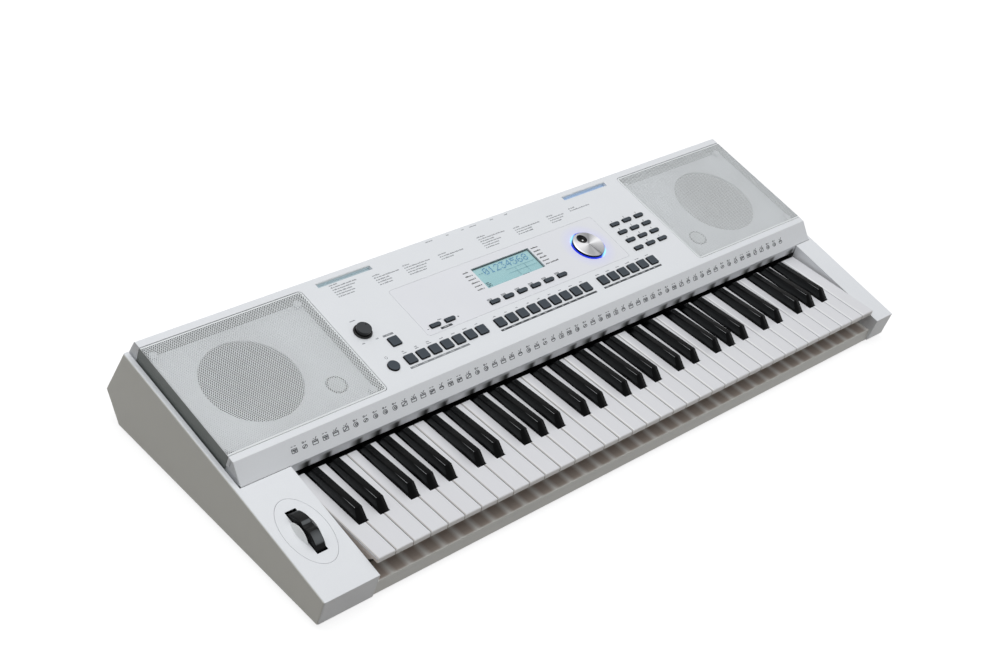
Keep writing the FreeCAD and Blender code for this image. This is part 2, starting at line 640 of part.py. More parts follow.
def black_key(label, centre, count):
    """A black key: a straight foot and tail, and a cap that tapers to its top."""
    body = new_body(label)
    side = outline(body, label + "_side", "YZ_Plane",
                   [("black_key_start", "-key_depth"), (SLOT_FRONT, "-key_depth"), (SLOT_FRONT, SLOT_ROOF),
                    (SLOT_BACK, SLOT_ROOF), (SLOT_BACK, "-key_depth"), ("tail_end", "-key_depth"),
                    ("tail_end", "-key_tail_drop"), ("white_key_length", "-key_tail_drop"),
                    ("white_key_length", "0"), ("black_key_start", "0")],
                   f"{centre} - black_key_width / 2")
    pad(body, side, "black_key_width")
    foot = rectangle(body, label + "_foot", f"{centre} - black_key_width / 2", "black_key_start",
                     f"{centre} + black_key_width / 2", "white_key_length")
    top = rectangle(body, label + "_top", f"{centre} - black_top_width / 2",
                    "black_key_start + black_front_run", f"{centre} + black_top_width / 2",
                    "white_key_length - black_back_run", "black_key_height")
    cap = body.newObject("PartDesign::AdditiveLoft", label + "_cap")
    cap.Profile = foot
    cap.Sections = [top]
    cap.Ruled = True
    doc.recompute()
    height = body.Shape.BoundBox.ZMax
    back = max(vertex.Y for vertex in body.Shape.Vertexes if vertex.Z > height / 2)
    round_edges(body, label + "_edges", "black_edge_radius",
                lambda middle, direction: abs(middle.z - height) < CLOSE and abs(middle.y - back) > CLOSE)
    repeat_body(body, "octave_pitch", count)
    place_at_keys(body)
    return keep(body, label)


def sharp_between(notes, index):
    """The note whose sharp lies between a white key and the one before it."""
    if index == 0:
        return None
    return notes[index - 1] if notes[index - 1] in NOTES_WITH_SHARP else None


for number, note in enumerate(WHITE_NOTES):
    own_sharp = note if note in NOTES_WITH_SHARP else None
    white_key(note + "_keys", number, sharp_between(WHITE_NOTES, number), own_sharp, OCTAVES)
white_key("top_c_key", WHITE_KEYS - 1, None, None, 1)
for note, sharp in NOTES_WITH_SHARP.items():
    black_key(sharp + "_keys", SHARP_CENTRES[note], OCTAVES)

# Key bed

BED_BACK = "frame_start + felt_bed_width"
BED_TOP = "frame_base + felt_bed_rise + frame_gauge"
SCREW_COLUMNS = [f"screw_end + {i} * (keybed_width - 2 * screw_end) / 3" for i in range(4)]
SCREW_PLACES = [(x, y) for x in SCREW_COLUMNS for y in ("screw_front_row", "screw_back_row")]

key_frame = new_body("key_frame")
frame_side = outline(
    key_frame, "frame_side", "YZ_Plane",
    [("frame_start", "frame_base"), ("frame_start", BED_TOP), (BED_BACK, BED_TOP),
     (BED_BACK, "frame_base + frame_gauge"),
     ("key_pivot_reach - blade_thickness / 2", "frame_base + frame_gauge"),
     ("key_pivot_reach - blade_thickness / 2", "pivot_z"),
     ("key_pivot_reach + blade_thickness / 2", "pivot_z"),
     ("key_pivot_reach + blade_thickness / 2", "frame_base"), (f"{BED_BACK} - frame_gauge", "frame_base"),
     (f"{BED_BACK} - frame_gauge", f"{BED_TOP} - frame_gauge"),
     ("frame_start + frame_gauge", f"{BED_TOP} - frame_gauge"), ("frame_start + frame_gauge", "frame_base")])
pad(key_frame, frame_side, "keybed_width")
RIB_FRONT = "contact_setback - contact_board_width / 2"
RIB_BACK = "contact_setback + contact_board_width / 2"
ribs = new_sketch(key_frame, "board_ribs", "XY_Plane", "frame_base + frame_gauge")
add_rectangle(ribs, "0", RIB_FRONT, "keybed_width", f"{RIB_FRONT} + wall")
add_rectangle(ribs, "0", f"{RIB_BACK} - wall", "keybed_width", RIB_BACK)
pad(key_frame, ribs, "contact_post")
frame_holes = discs(key_frame, "frame_holes", SCREW_PLACES, "screw_radius + screw_clearance",
                    "frame_base + frame_gauge + seam")
pocket(key_frame, frame_holes, "frame_gauge + 2 * seam")
place_at_keys(key_frame)
keep(key_frame, "key_frame")

key_felt = new_body("key_felt")
felt = rectangle(key_felt, "felt", "0", "frame_start + felt_inset", "keybed_width",
                 f"{BED_BACK} - felt_inset", BED_TOP)
pad(key_felt, felt, "felt_thickness")
place_at_keys(key_felt)
keep(key_felt, "key_felt")

contact_board = new_body("key_contact_board")
contact_plan = rectangle(contact_board, "contact_plan", "0", RIB_FRONT, "keybed_width", RIB_BACK,
                         "rubber_base - board_gauge")
pad(contact_board, contact_plan, "board_gauge")
place_at_keys(contact_board)
keep(contact_board, "key_contact_board")

contact_rubber = new_body("contact_rubbers")
rubber_plan = rectangle(contact_rubber, "rubber_plan", "key_gap", "contact_setback - rubber_width / 2",
                        "octave_pitch - key_gap", "contact_setback + rubber_width / 2", "rubber_base")
pad(contact_rubber, rubber_plan, "rubber_height")
repeat_body(contact_rubber, "octave_pitch", OCTAVES)
place_at_keys(contact_rubber)
keep(contact_rubber, "contact_rubbers")

frame_screws = new_body("frame_screws")
SCREW_HEAD_Z = "-key_top_height + seam"
heads = discs(frame_screws, "heads", SCREW_PLACES, "screw_head_radius", SCREW_HEAD_Z)
pad(frame_screws, heads, "screw_head_height")
shanks = discs(frame_screws, "shanks", SCREW_PLACES, "screw_radius", SCREW_HEAD_Z)
pad(frame_screws, shanks, "frame_lift + frame_gauge + wall")
place_at_keys(frame_screws)
keep(frame_screws, "frame_screws")

# Lower case

SLIP_FOOT = "key_front_y - slip_lead"
FLOOR_TOP = "foot_height + wall"
SLIP_TOP = "foot_height + slip_height"
FLOOR_FRONT = "nose_y + nose_lean + wall + seam"

lower_case = new_body("lower_case")
tray = outline(
    lower_case, "tray", "YZ_Plane",
    [(SLIP_FOOT, "foot_height"), ("bottom_back_y", "foot_height"), ("ridge_y", "ridge_z"),
     ("ridge_y - wall", "ridge_z"), ("bottom_back_y - wall", FLOOR_TOP), (f"{SLIP_FOOT} + wall", FLOOR_TOP),
     (f"{SLIP_FOOT} + wall", f"{SLIP_TOP} - wall"), ("key_front_y + ledge_depth", f"{SLIP_TOP} - wall"),
     ("key_front_y + ledge_depth", SLIP_TOP), (f"{SLIP_FOOT} + slip_lean", SLIP_TOP)],
    "left_inner + seam")
pad(lower_case, tray, "right_inner - left_inner - 2 * seam")
back_tray = outline(
    lower_case, "back_tray", "YZ_Plane",
    [("block_back_y + seam", "foot_height"), ("bottom_back_y", "foot_height"), ("ridge_y", "ridge_z"),
     ("ridge_y - wall", "ridge_z"), ("bottom_back_y - wall", FLOOR_TOP), ("block_back_y + seam", FLOOR_TOP)],
    "-deck_half")
pad(lower_case, back_tray, "2 * deck_half")
wings = new_sketch(lower_case, "wings", "XY_Plane", "foot_height")
add_rectangle(wings, "-half_width + wall + seam", FLOOR_FRONT, "left_inner + wall", "block_back_y + wall")
add_rectangle(wings, "right_inner - wall", FLOOR_FRONT, "half_width - wall - seam", "block_back_y + wall")
pad(lower_case, wings, "wall")
trim = new_sketch(lower_case, "wing_trim", "XY_Plane", f"{FLOOR_TOP} + seam")
add_rectangle(trim, "-half_width", "block_back_y - wall", "-deck_half", "block_back_y + 2 * wall")
add_rectangle(trim, "deck_half", "block_back_y - wall", "half_width", "block_back_y + 2 * wall")
pocket(lower_case, trim, "wall + 2 * seam")
case_screw_places = [(f"keys_x + {x}", f"key_front_y + {y}") for x, y in SCREW_PLACES]
frame_posts = discs(lower_case, "frame_posts", case_screw_places, "boss_radius", FLOOR_TOP)
pad(lower_case, frame_posts, "frame_lift - wall")
BOARD_Y = "key_front_y + main_board_setback"
board_posts = discs(
    lower_case, "board_posts",
    [(f"main_board_x + {side} * (main_board_width / 2 - main_board_inset)",
      f"{BOARD_Y} + {end} * (main_board_depth / 2 - main_board_inset)")
     for side in (-1, 1) for end in (-1, 1)],
    "boss_radius", FLOOR_TOP)
pad(lower_case, board_posts, "frame_lift - wall")
screw_holes = discs(lower_case, "screw_holes", case_screw_places, "screw_radius + screw_clearance",
                    "foot_height + frame_lift + seam")
pocket(lower_case, screw_holes, "frame_lift + 2 * seam")
head_sinks = discs(lower_case, "head_sinks", case_screw_places, "screw_head_radius + screw_clearance",
                   "foot_height + screw_head_height + 2 * seam")
pocket(lower_case, head_sinks, "screw_head_height + 3 * seam")
keep(lower_case, "lower_case")

main_board = new_body("main_board")
main_plan = rectangle(main_board, "main_plan", "main_board_x - main_board_width / 2",
                      f"{BOARD_Y} - main_board_depth / 2", "main_board_x + main_board_width / 2",
                      f"{BOARD_Y} + main_board_depth / 2", "foot_height + frame_lift")
pad(main_board, main_plan, "board_gauge")
keep(main_board, "main_board")

feet = new_body("rubber_feet")
foot_discs = discs(
    feet, "foot_discs",
    [(f"{side} * (half_width - foot_inset)", y) for side in (-1, 1)
     for y in ("key_front_y + foot_setback", "bottom_back_y - foot_setback")],
    "foot_radius")
pad(feet, foot_discs, "foot_height")
keep(feet, "rubber_feet")

# End cheeks

FLOOR_CLEAR = "foot_height + wall + seam"


def cheek_shell(label, arm_start, block_start, block_width, cavity_end, clear_left, clear_right, arm_open):
    """An end moulding: a hollow block beside the keys and an arm that runs back beside the deck."""
    body = new_body(label)
    arm = outline(body, label + "_arm", "YZ_Plane",
                  [("nose_y", "nose_z"), ("nose_y + nose_lean", "foot_height"),
                   ("bottom_back_y", "foot_height"), ("ridge_y", "ridge_z"), ("lip_y", "lip_z"),
                   ("block_back_y", "block_top_z")], arm_start)
    pad(body, arm, "arm_width")
    block = outline(body, label + "_block", "YZ_Plane",
                    [("nose_y", "nose_z"), ("nose_y + nose_lean", "foot_height"),
                     ("block_back_y", "foot_height"), ("block_back_y", "block_top_z")], block_start)
    pad(body, block, block_width)
    doc.recompute()
    box = body.Shape.BoundBox
    outer = box.XMin if box.XMin < -box.XMax else box.XMax
    round_edges(body, label + "_edges", "cheek_radius",
                lambda middle, direction: abs(middle.x - outer) < CLOSE and middle.z > box.ZMin + CLOSE)
    rise = "wall * tan(cheek_slope)"
    cavity = outline(body, label + "_cavity", "YZ_Plane",
                     [("nose_y + wall", f"nose_z - wall + {rise}"),
                      ("nose_y + nose_lean + wall", "foot_height - seam"),
                      ("block_back_y - wall", "foot_height - seam"),
                      ("block_back_y - wall", f"block_top_z - wall - {rise}")], cavity_end)
    pocket(body, cavity, f"{block_width} - 2 * wall")
    clear = rectangle(body, label + "_clear", clear_left, "nose_y + nose_lean + wall", clear_right,
                      "block_back_y + seam", FLOOR_CLEAR)
    pocket(body, clear, "wall + 2 * seam")
    arm_cavity = outline(body, label + "_arm_cavity", "YZ_Plane",
                         [("block_back_y + rim", "foot_height + rim"),
                          ("bottom_back_y - rim", "foot_height + rim"),
                          ("ridge_y - 2 * rim", "ridge_z"), ("lip_y - rim", "lip_z - rim"),
                          ("block_back_y + rim", "block_top_z - rim")], arm_open)
    pocket(body, arm_cavity, "arm_width - wall + seam")
    return body


left_cheek = cheek_shell("left_cheek_shell", "-half_width", "-half_width", "left_cheek_width",
                         "left_inner - wall", "-half_width + wall", "left_inner + seam",
                         "-half_width + arm_width + seam")
right_cheek = cheek_shell("right_end_cheek", "half_width - arm_width", "right_inner", "right_cheek_width",
                          "half_width - wall", "right_inner - seam", "half_width - wall", "half_width - wall")
keep(right_cheek, "right_end_cheek")


def oval(name, width, length, bottom, height):
    """A flat oval on the cheek's slope round the middle of the pitch wheel, before it is placed."""
    edge = doc.addObject("Part::Ellipse", name + "_edge")
    edge.Placement = Placement(Vector(0, 0, 0), Rotation(Vector(0, 0, 1), 90))
    bind(edge, MajorRadius=f"({length}) / 2", MinorRadius=f"({width}) / 2")
    bind(edge, Placement__Base__y="wheel_reach", Placement__Base__z=bottom)
    solid = doc.addObject("Part::Extrusion", name)
    solid.Base = edge
    solid.DirMode = "Custom"
    solid.Dir = Vector(0, 0, 1)
    solid.Solid = True
    bind(solid, LengthFwd=height)
    return solid


oval_hole = oval("oval_hole", "oval_plate_width + 2 * seam", "oval_plate_length + 2 * seam",
                 "-2 * wall", "3 * wall")
place_on_cheek(oval_hole, "wheel_x")
cheek_cut = doc.addObject("Part::Cut", "left_end_cheek")
cheek_cut.Base = left_cheek
cheek_cut.Tool = oval_hole
keep(cheek_cut, "left_end_cheek")

# Pitch wheel

plate_top = oval("plate_top", "oval_plate_width", "oval_plate_length", "plate_under", "-plate_under")
plate_rim = oval("plate_rim", "oval_plate_width + 2 * plate_flange", "oval_plate_length + 2 * plate_flange",
                 "plate_under", "plate_flange_gauge")
plate_blank = doc.addObject("Part::Fuse", "plate_blank")
plate_blank.Base = plate_top
plate_blank.Tool = plate_rim
wheel_slot = doc.addObject("Part::Box", "wheel_slot")
bind(wheel_slot, Length="wheel_slot_width", Width="wheel_slot_length", Height="4 * wall",
     Placement__Base__x="-wheel_slot_width / 2", Placement__Base__y="wheel_reach - wheel_slot_length / 2",
     Placement__Base__z="-3 * wall")
wheel_plate = doc.addObject("Part::Cut", "wheel_plate")
wheel_plate.Base = plate_blank
wheel_plate.Tool = wheel_slot
place_on_cheek(wheel_plate, "wheel_x")
keep(wheel_plate, "wheel_plate")

WHEEL_MIDDLE = [("wheel_reach", "axle_h")]
BRACKET_REACH = "wheel_radius + bracket_end_gap"
wheel_bracket = new_body("wheel_bracket")
bracket_plan = new_sketch(wheel_bracket, "bracket_plan", "XY_Plane", "axle_h - bracket_foot")
add_rectangle(bracket_plan, "-bracket_half", f"wheel_reach - ({BRACKET_REACH}) - bracket_gauge",
              "bracket_half", f"wheel_reach + {BRACKET_REACH} + bracket_gauge")
add_rectangle(bracket_plan, "-bracket_half + bracket_gauge", f"wheel_reach - ({BRACKET_REACH})",
              "bracket_half - bracket_gauge", f"wheel_reach + {BRACKET_REACH}")
pad(wheel_bracket, bracket_plan, "plate_under - axle_h + bracket_foot")
axle_bore = discs(wheel_bracket, "axle_bore", WHEEL_MIDDLE, "axle_radius + stem_clearance",
                  "bracket_half + seam", "YZ_Plane")
pocket(wheel_bracket, axle_bore, "2 * bracket_half + 2 * seam")
place_on_cheek(wheel_bracket, "wheel_x")
keep(wheel_bracket, "wheel_bracket")

potentiometer = new_body("wheel_potentiometer")
can = discs(potentiometer, "can", WHEEL_MIDDLE, "potentiometer_radius", "bracket_half", "YZ_Plane")
pad(potentiometer, can, "potentiometer_height")
can_bore = discs(potentiometer, "can_bore", WHEEL_MIDDLE, "axle_radius + stem_clearance",
                 "bracket_half + potentiometer_height - bracket_gauge", "YZ_Plane")
pocket(potentiometer, can_bore, "potentiometer_height")
place_on_cheek(potentiometer, "wheel_x")
keep(potentiometer, "wheel_potentiometer")

pitch_wheel = new_body("pitch_wheel")
tyre = discs(pitch_wheel, "tyre", WHEEL_MIDDLE, "wheel_radius", "-wheel_width / 2", "YZ_Plane")
pad(pitch_wheel, tyre, "wheel_width")
hub = discs(pitch_wheel, "hub", WHEEL_MIDDLE, "wheel_hub_radius", "-wheel_width / 2 - bracket_gap + seam",
            "YZ_Plane")
pad(pitch_wheel, hub, "wheel_width + 2 * bracket_gap - 2 * seam")
axle = discs(pitch_wheel, "axle", WHEEL_MIDDLE, "axle_radius", "-bracket_half", "YZ_Plane")
pad(pitch_wheel, axle, "2 * bracket_half + potentiometer_height - bracket_gauge - seam")
notch = discs(pitch_wheel, "notch",
              [("wheel_reach", "axle_h + wheel_radius + wheel_notch_radius - wheel_notch_depth")],
              "wheel_notch_radius", "wheel_width / 2 + seam", "YZ_Plane")
pocket(pitch_wheel, notch, "wheel_width + 2 * seam")
place_on_cheek(pitch_wheel, "wheel_x")
keep(pitch_wheel, "pitch_wheel")

# Upper case

WELL_FRONT = "grille_front - grille_gap"
WELL_BACK = "grille_back + grille_gap"
WELL_INNER = "grille_inner - grille_gap"
FALL_TURN_V = "-rail_width - fall_run * wall / fall_drop + fall_wall"
REAR_TURN_V = "deck_depth - wall + (ridge_v - deck_depth) * wall / (-ridge_h - parting)"
POST_FOOT_V = "deck_depth + (ridge_v - deck_depth) * end_wall_drop / (-ridge_h - parting) - wall / 2"
SOCKET_ROW = [f"socket_first + {i} * socket_pitch" for i in range(6)]
USB_HEIGHT = "usb_height + usb_shell - usb_width"

upper_case = new_body("upper_case")
section = outline(
    upper_case, "deck_section", "YZ_Plane",
    [("ridge_v", "ridge_h + parting"), ("deck_depth", "0"), ("0", "0"), ("-rail_width", "-rail_drop"),
     ("fall_v", "fall_h"), ("fall_v + fall_wall", "fall_h"), (FALL_TURN_V, "-rail_drop - wall"),
     ("0", "deck_under"), (REAR_TURN_V, "deck_under"), ("ridge_v - wall", "ridge_h + parting")],
    "-deck_half")
pad(upper_case, section, "2 * deck_half")
doc.recompute()
deck_box = upper_case.Shape.BoundBox
round_edges(upper_case, "back_edge", "deck_radius",
            lambda middle, direction: along(direction, Vector(1, 0, 0))
            and abs(middle.z - deck_box.ZMax) < CLOSE and middle.y > deck_box.Center.y)
strip = outline(
    upper_case, "tail_strip", "YZ_Plane",
    [("fall_v", "fall_h"), ("fall_v - strip_lead", "fall_h - strip_drop"),
     ("fall_v - strip_lead + wall", "fall_h - strip_drop"), ("fall_v + fall_wall", "fall_h")],
    "left_inner + seam")
pad(upper_case, strip, "right_inner - left_inner - 2 * seam")
for side, hand in ((-1, "left"), (1, "right")):
    outer = "-deck_half" if side < 0 else "deck_half"
    block = rectangle(upper_case, hand + "_well_block", f"{side} * ({WELL_INNER} - wall)", "-wall", outer,
                      f"{WELL_BACK} + wall", "baffle_back")
    pad(upper_case, block, "deck_under - baffle_back + seam")
    end_start = "-skirt_back" if side < 0 else "skirt_back - wall"
    end_wall = outline(
        upper_case, hand + "_end_wall", "YZ_Plane",
        [("-rail_width", "-wall"), ("deck_depth - wall", "-wall"), ("deck_depth - wall", "-end_wall_drop"),
         ("fall_v + fall_wall", "-end_wall_drop"), ("fall_v + fall_wall", "fall_h")], end_start)
    pad(upper_case, end_wall, "wall")
    end_post = outline(
        upper_case, hand + "_end_post", "YZ_Plane",
        [(WELL_BACK, "-wall / 2"), ("deck_depth - wall / 2", "-wall / 2"), (POST_FOOT_V, "-end_wall_drop"),
         (WELL_BACK, "-end_wall_drop")], "-deck_half" if side < 0 else "deck_half - 2 * wall")
    pad(upper_case, end_post, "2 * wall")
    slot_block = rectangle(upper_case, hand + "_slot_block", f"{side} * (slot_inner - slot_wall)",
                           "slot_front - slot_wall", f"{side} * (slot_outer + slot_wall)",
                           "slot_back + slot_wall", "-slot_depth - slot_wall")
    pad(upper_case, slot_block, "slot_depth")
for side, hand in ((-1, "left"), (1, "right")):
    well_ends = [f"{side} * ({WELL_INNER})", f"{side} * (deck_half + 2 * grille_radius)"][::side]
    well = rounded(upper_case, hand + "_well", well_ends[0], WELL_FRONT, well_ends[1], WELL_BACK,
                   "grille_radius + grille_gap")
    pocket(upper_case, well, "well_depth")
    skirt_way = rectangle(upper_case, hand + "_skirt_way", f"{side} * skirt_back", WELL_FRONT,
                          f"{side} * (deck_half + seam)", WELL_BACK)
    pocket(upper_case, skirt_way, "end_wall_drop")
    speaker_hole = discs(upper_case, hand + "_speaker_hole", [(f"{side} * speaker_x", "speaker_v")],
                         "speaker_radius", "-well_depth + seam")
    pocket(upper_case, speaker_hole, "wall + 2 * seam")
    tweeter_hole = discs(upper_case, hand + "_tweeter_hole", [(f"{side} * tweeter_x", "tweeter_v")],
                         "tweeter_radius", "-well_depth + seam")
    pocket(upper_case, tweeter_hole, "wall + 2 * seam")
    boss_columns = (f"{side} * (grille_inner + well_boss_inset)", f"{side} * (deck_half - well_boss_inset)")
    boss_rows = ("grille_front + well_boss_inset", "grille_back - well_boss_inset")
    well_posts = discs(upper_case, hand + "_well_posts", [(x, v) for x in boss_columns for v in boss_rows],
                       "boss_radius", "-well_depth")
    pad(upper_case, well_posts, "well_boss_height")
    music_slot = rectangle(upper_case, hand + "_music_slot", f"{side} * slot_inner", "slot_front",
                           f"{side} * slot_outer", "slot_back")
    pocket(upper_case, music_slot, "slot_depth")
inlay_seat = rounded(upper_case, "inlay_seat", "inlay_left - inlay_gap", "inlay_front - inlay_gap",
                     "inlay_right + inlay_gap", "inlay_back + inlay_gap", "inlay_radius + inlay_gap")
pocket(upper_case, inlay_seat, "inlay_gauge")


def button_holes(body, depth):
    """Holes for every button, dial and knob of the deck, cut from its surface."""
    for label, x, v, count in SQUARE_ROWS:
        sketch = new_sketch(body, f"{label}_holes", "XY_Plane", "0")
        for number in range(count):
            middle = f"{x} + {number} * row_pitch"
            add_rounded(sketch, f"{middle} - button_width / 2 - button_gap",
                        f"{v} - button_depth / 2 - button_gap", f"{middle} + button_width / 2 + button_gap",
                        f"{v} + button_depth / 2 + button_gap", "button_radius + button_gap")
        pocket(body, sketch, depth)
    for label, x, v, columns, rows in OVAL_GROUPS:
        sketch = new_sketch(body, f"{label}_holes", "XY_Plane", "0")
        for column in range(columns):
            for line in range(rows):
                add_round_ended(sketch, f"{x} + {column} * oval_pitch", f"{v} + {line} * keypad_row_pitch",
                                "oval_length + 2 * button_gap", "oval_depth + 2 * button_gap")
        pocket(body, sketch, depth)


SQUARE_ROWS = [
    ("left_row_buttons", "left_row_x", "row_v", 7),
    ("middle_row_buttons", "middle_row_x", "row_v", 9),
    ("right_row_buttons", "right_row_x", "row_v", 6),
    ("single_button", "left_row_x", "single_v", 1),
]
OVAL_GROUPS = [
    ("tempo_buttons", "tempo_x", "oval_v", 2, 1),
    ("display_buttons", "display_row_x", "oval_v", 6, 1),
    ("keypad_buttons", "keypad_x", "keypad_v", 3, 4),
]
THROUGH = "wall + seam"

button_holes(upper_case, THROUGH)
power_hole = discs(upper_case, "power_hole", [("power_x", "row_v")], "power_radius + button_gap")
pocket(upper_case, power_hole, THROUGH)
knob_hole = discs(upper_case, "knob_hole", [("power_x", "knob_v")], "stem_radius + button_gap")
pocket(upper_case, knob_hole, THROUGH)
dial_opening = discs(upper_case, "dial_opening", [("dial_x", "dial_v")], "dial_hole")
pocket(upper_case, dial_opening, THROUGH)
window_opening = rectangle(upper_case, "window_opening", "window_left", "window_front", "window_right",
                           "window_back")
pocket(upper_case, window_opening, THROUGH)
panel_posts = discs(
    upper_case, "panel_posts",
    [(f"{side} * (mat_half_width + panel_board_margin / 2)", v) for side in (-1, 1)
     for v in ("mat_front", "mat_back")],
    "board_boss_radius", "board_top")
pad(upper_case, panel_posts, "deck_under - board_top")
rear_holes = new_sketch(upper_case, "rear_holes", "XY_Plane", "0")
rear_holes.AttachmentOffset = Placement(Vector(0, 0, 0), Rotation(Vector(1, 0, 0), 1.0))
bind(rear_holes, AttachmentOffset__Base__y="deck_depth + seam",
     AttachmentOffset__Rotation__Angle="rear_tilt - deck_slope * 1deg")
for x in SOCKET_ROW[1:]:
    add_disc(rear_holes, x, "socket_drop", "jack_neck + socket_gap")
add_rectangle(rear_holes, f"{SOCKET_ROW[0]} - usb_shell / 2 - socket_gap",
              f"socket_drop - ({USB_HEIGHT}) / 2 - socket_gap",
              f"{SOCKET_ROW[0]} + usb_shell / 2 + socket_gap",
              f"socket_drop + ({USB_HEIGHT}) / 2 + socket_gap")
pocket(upper_case, rear_holes, "2 * wall")
place_on_deck(upper_case)
keep(upper_case, "upper_case")

# Grilles and loudspeakers

for side, hand in ((-1, "left"), (1, "right")):
    grille = new_body(hand + "_grille")
    sheet_ends = [f"{side} * grille_inner", f"{side} * (deck_half + 2 * grille_radius)"][::side]
    sheet_plan = rounded(grille, hand + "_sheet", sheet_ends[0], "grille_front", sheet_ends[1], "grille_back",
                         "grille_radius", "-well_depth")
    pad(grille, sheet_plan, "well_depth")
    beyond = rectangle(grille, hand + "_beyond", f"{side} * deck_half", "grille_front - seam",
                       f"{side} * (deck_half + 3 * grille_radius)", "grille_back + seam", "seam")
    pocket(grille, beyond, "well_depth + 2 * seam")
    inside_ends = [f"{side} * (grille_inner + grille_gauge)", f"{side} * (deck_half - grille_gauge)"][::side]
    inside = rounded(grille, hand + "_inside", inside_ends[0], "grille_front + grille_gauge", inside_ends[1],
                     "grille_back - grille_gauge", "grille_radius - grille_gauge", "-grille_gauge")
    pocket(grille, inside, "well_depth")
    skirt = rectangle(grille, hand + "_skirt", f"{side} * (deck_half - grille_gauge)", "grille_front",
                      f"{side} * deck_half", "grille_back", "-lip_drop - wall")
    pad(grille, skirt, "lip_drop + wall - grille_gauge")
    place_on_deck(grille)
    keep(grille, hand + "_grille")

    frame = new_body(hand + "_speaker_frame")
    rim_top = "baffle_back"
    magnet_top = "baffle_back - speaker_depth + magnet_height"
    turned(frame, hand + "_basket",
           [("0", "baffle_back - speaker_depth"), ("magnet_radius", "baffle_back - speaker_depth"),
            ("magnet_radius", magnet_top), ("magnet_radius - wall", magnet_top),
            ("speaker_radius + wall", f"{rim_top} - wall"),
            ("speaker_radius + speaker_rim", f"{rim_top} - wall"),
            ("speaker_radius + speaker_rim", rim_top), ("speaker_radius", rim_top),
            ("speaker_radius", f"{rim_top} - wall / 2"), ("speaker_radius - wall", f"{rim_top} - wall / 2"),
            ("magnet_radius - 2 * wall", magnet_top), ("0", magnet_top)])
    place_on_deck(frame, f"{side} * speaker_x", "speaker_v")
    keep(frame, hand + "_speaker_frame")

    cone = new_body(hand + "_speaker_cone")
    seat = "baffle_back - wall / 2 + seam"
    edge = "speaker_radius - seam"
    turned(cone, hand + "_cone_side",
           [("0", f"{magnet_top} + seam"), ("coil_radius - wall", f"{magnet_top} + seam"),
            ("coil_radius - wall", f"{seat} - cone_depth"), ("coil_radius", f"{seat} - cone_depth"),
            (f"{edge} - surround_width", seat), (edge, seat), (edge, f"{seat} + wall / 2"),
            (f"{edge} - surround_width / 3", f"{seat} + wall"),
            (f"{edge} - 2 * surround_width / 3", f"{seat} + wall"),
            (f"{edge} - surround_width", f"{seat} + wall / 2"),
            ("coil_radius", f"{seat} - cone_depth + wall"), ("0", f"{seat} - cone_depth + 2 * wall")])
    place_on_deck(cone, f"{side} * speaker_x", "speaker_v")
    keep(cone, hand + "_speaker_cone")

    tweeter = new_body(hand + "_tweeter")
    shaft = "tweeter_radius - seam"
    turned(tweeter, hand + "_tweeter_side",
           [("0", "baffle_back - tweeter_depth"), (shaft, "baffle_back - tweeter_depth"),
            (shaft, "baffle_back - wall"), ("tweeter_radius + wall", "baffle_back - wall"),
            ("tweeter_radius + wall", "baffle_back"), (shaft, "baffle_back"), (shaft, "-well_depth - seam"),
            ("tweeter_radius - wall", "-well_depth + seam"), ("0", "-well_depth + wall / 2")])
    place_on_deck(tweeter, f"{side} * tweeter_x", "tweeter_v")
    keep(tweeter, hand + "_tweeter")

# Buttons


def finish_button(body, label, cap, flange):
    pad(body, cap, "button_rise - flange_top")
    pad(body, flange, "flange_gauge")
    return keep(body, label)


for label, x, v, count in SQUARE_ROWS:
    button = new_body(label)
    cap = rounded(button, label + "_cap", "-button_width / 2", "-button_depth / 2", "button_width / 2",
                  "button_depth / 2", "button_radius", "flange_top")
    flange = rectangle(button, label + "_flange", "-button_width / 2 - button_flange",
                       "-button_depth / 2 - button_flange", "button_width / 2 + button_flange",
                       "button_depth / 2 + button_flange", "flange_bottom")
    finish_button(button, label, cap, flange)
    if count > 1:
        repeat_body(button, "row_pitch", count)
    place_on_deck(button, x, v)

for label, x, v, columns, rows in OVAL_GROUPS:
    button = new_body(label)
    cap = new_sketch(button, label + "_cap", "XY_Plane", "flange_top")
    flange = new_sketch(button, label + "_flange", "XY_Plane", "flange_bottom")
    for column in range(columns):
        for line in range(rows):
            at = (f"{column} * oval_pitch", f"{line} * keypad_row_pitch")
            add_round_ended(cap, *at, "oval_length", "oval_depth")
            add_round_ended(flange, *at, "oval_length + 2 * button_flange", "oval_depth + 2 * button_flange")
    finish_button(button, label, cap, flange)
    place_on_deck(button, x, v)

power_button = new_body("power_button")
finish_button(power_button, "power_button",
              discs(power_button, "power_cap", [("0", "0")], "power_radius", "flange_top"),
              discs(power_button, "power_flange", [("0", "0")], "power_radius + button_flange",
                    "flange_bottom"))
place_on_deck(power_button, "power_x", "row_v")

# Knob and dial with the controls below them

volume_knob = new_body("volume_knob")
turned(volume_knob, "knob_side",
       [("0", "stem_end"), ("stem_radius", "stem_end"), ("stem_radius", "knob_lift"),
        ("knob_foot_radius", "knob_lift"), ("knob_foot_radius", "knob_foot_height"),
        ("knob_radius", "knob_foot_height"), ("knob_radius - knob_draft", "knob_height"),
        ("0", "knob_height")])
place_on_deck(volume_knob, "power_x", "knob_v")
keep(volume_knob, "volume_knob")

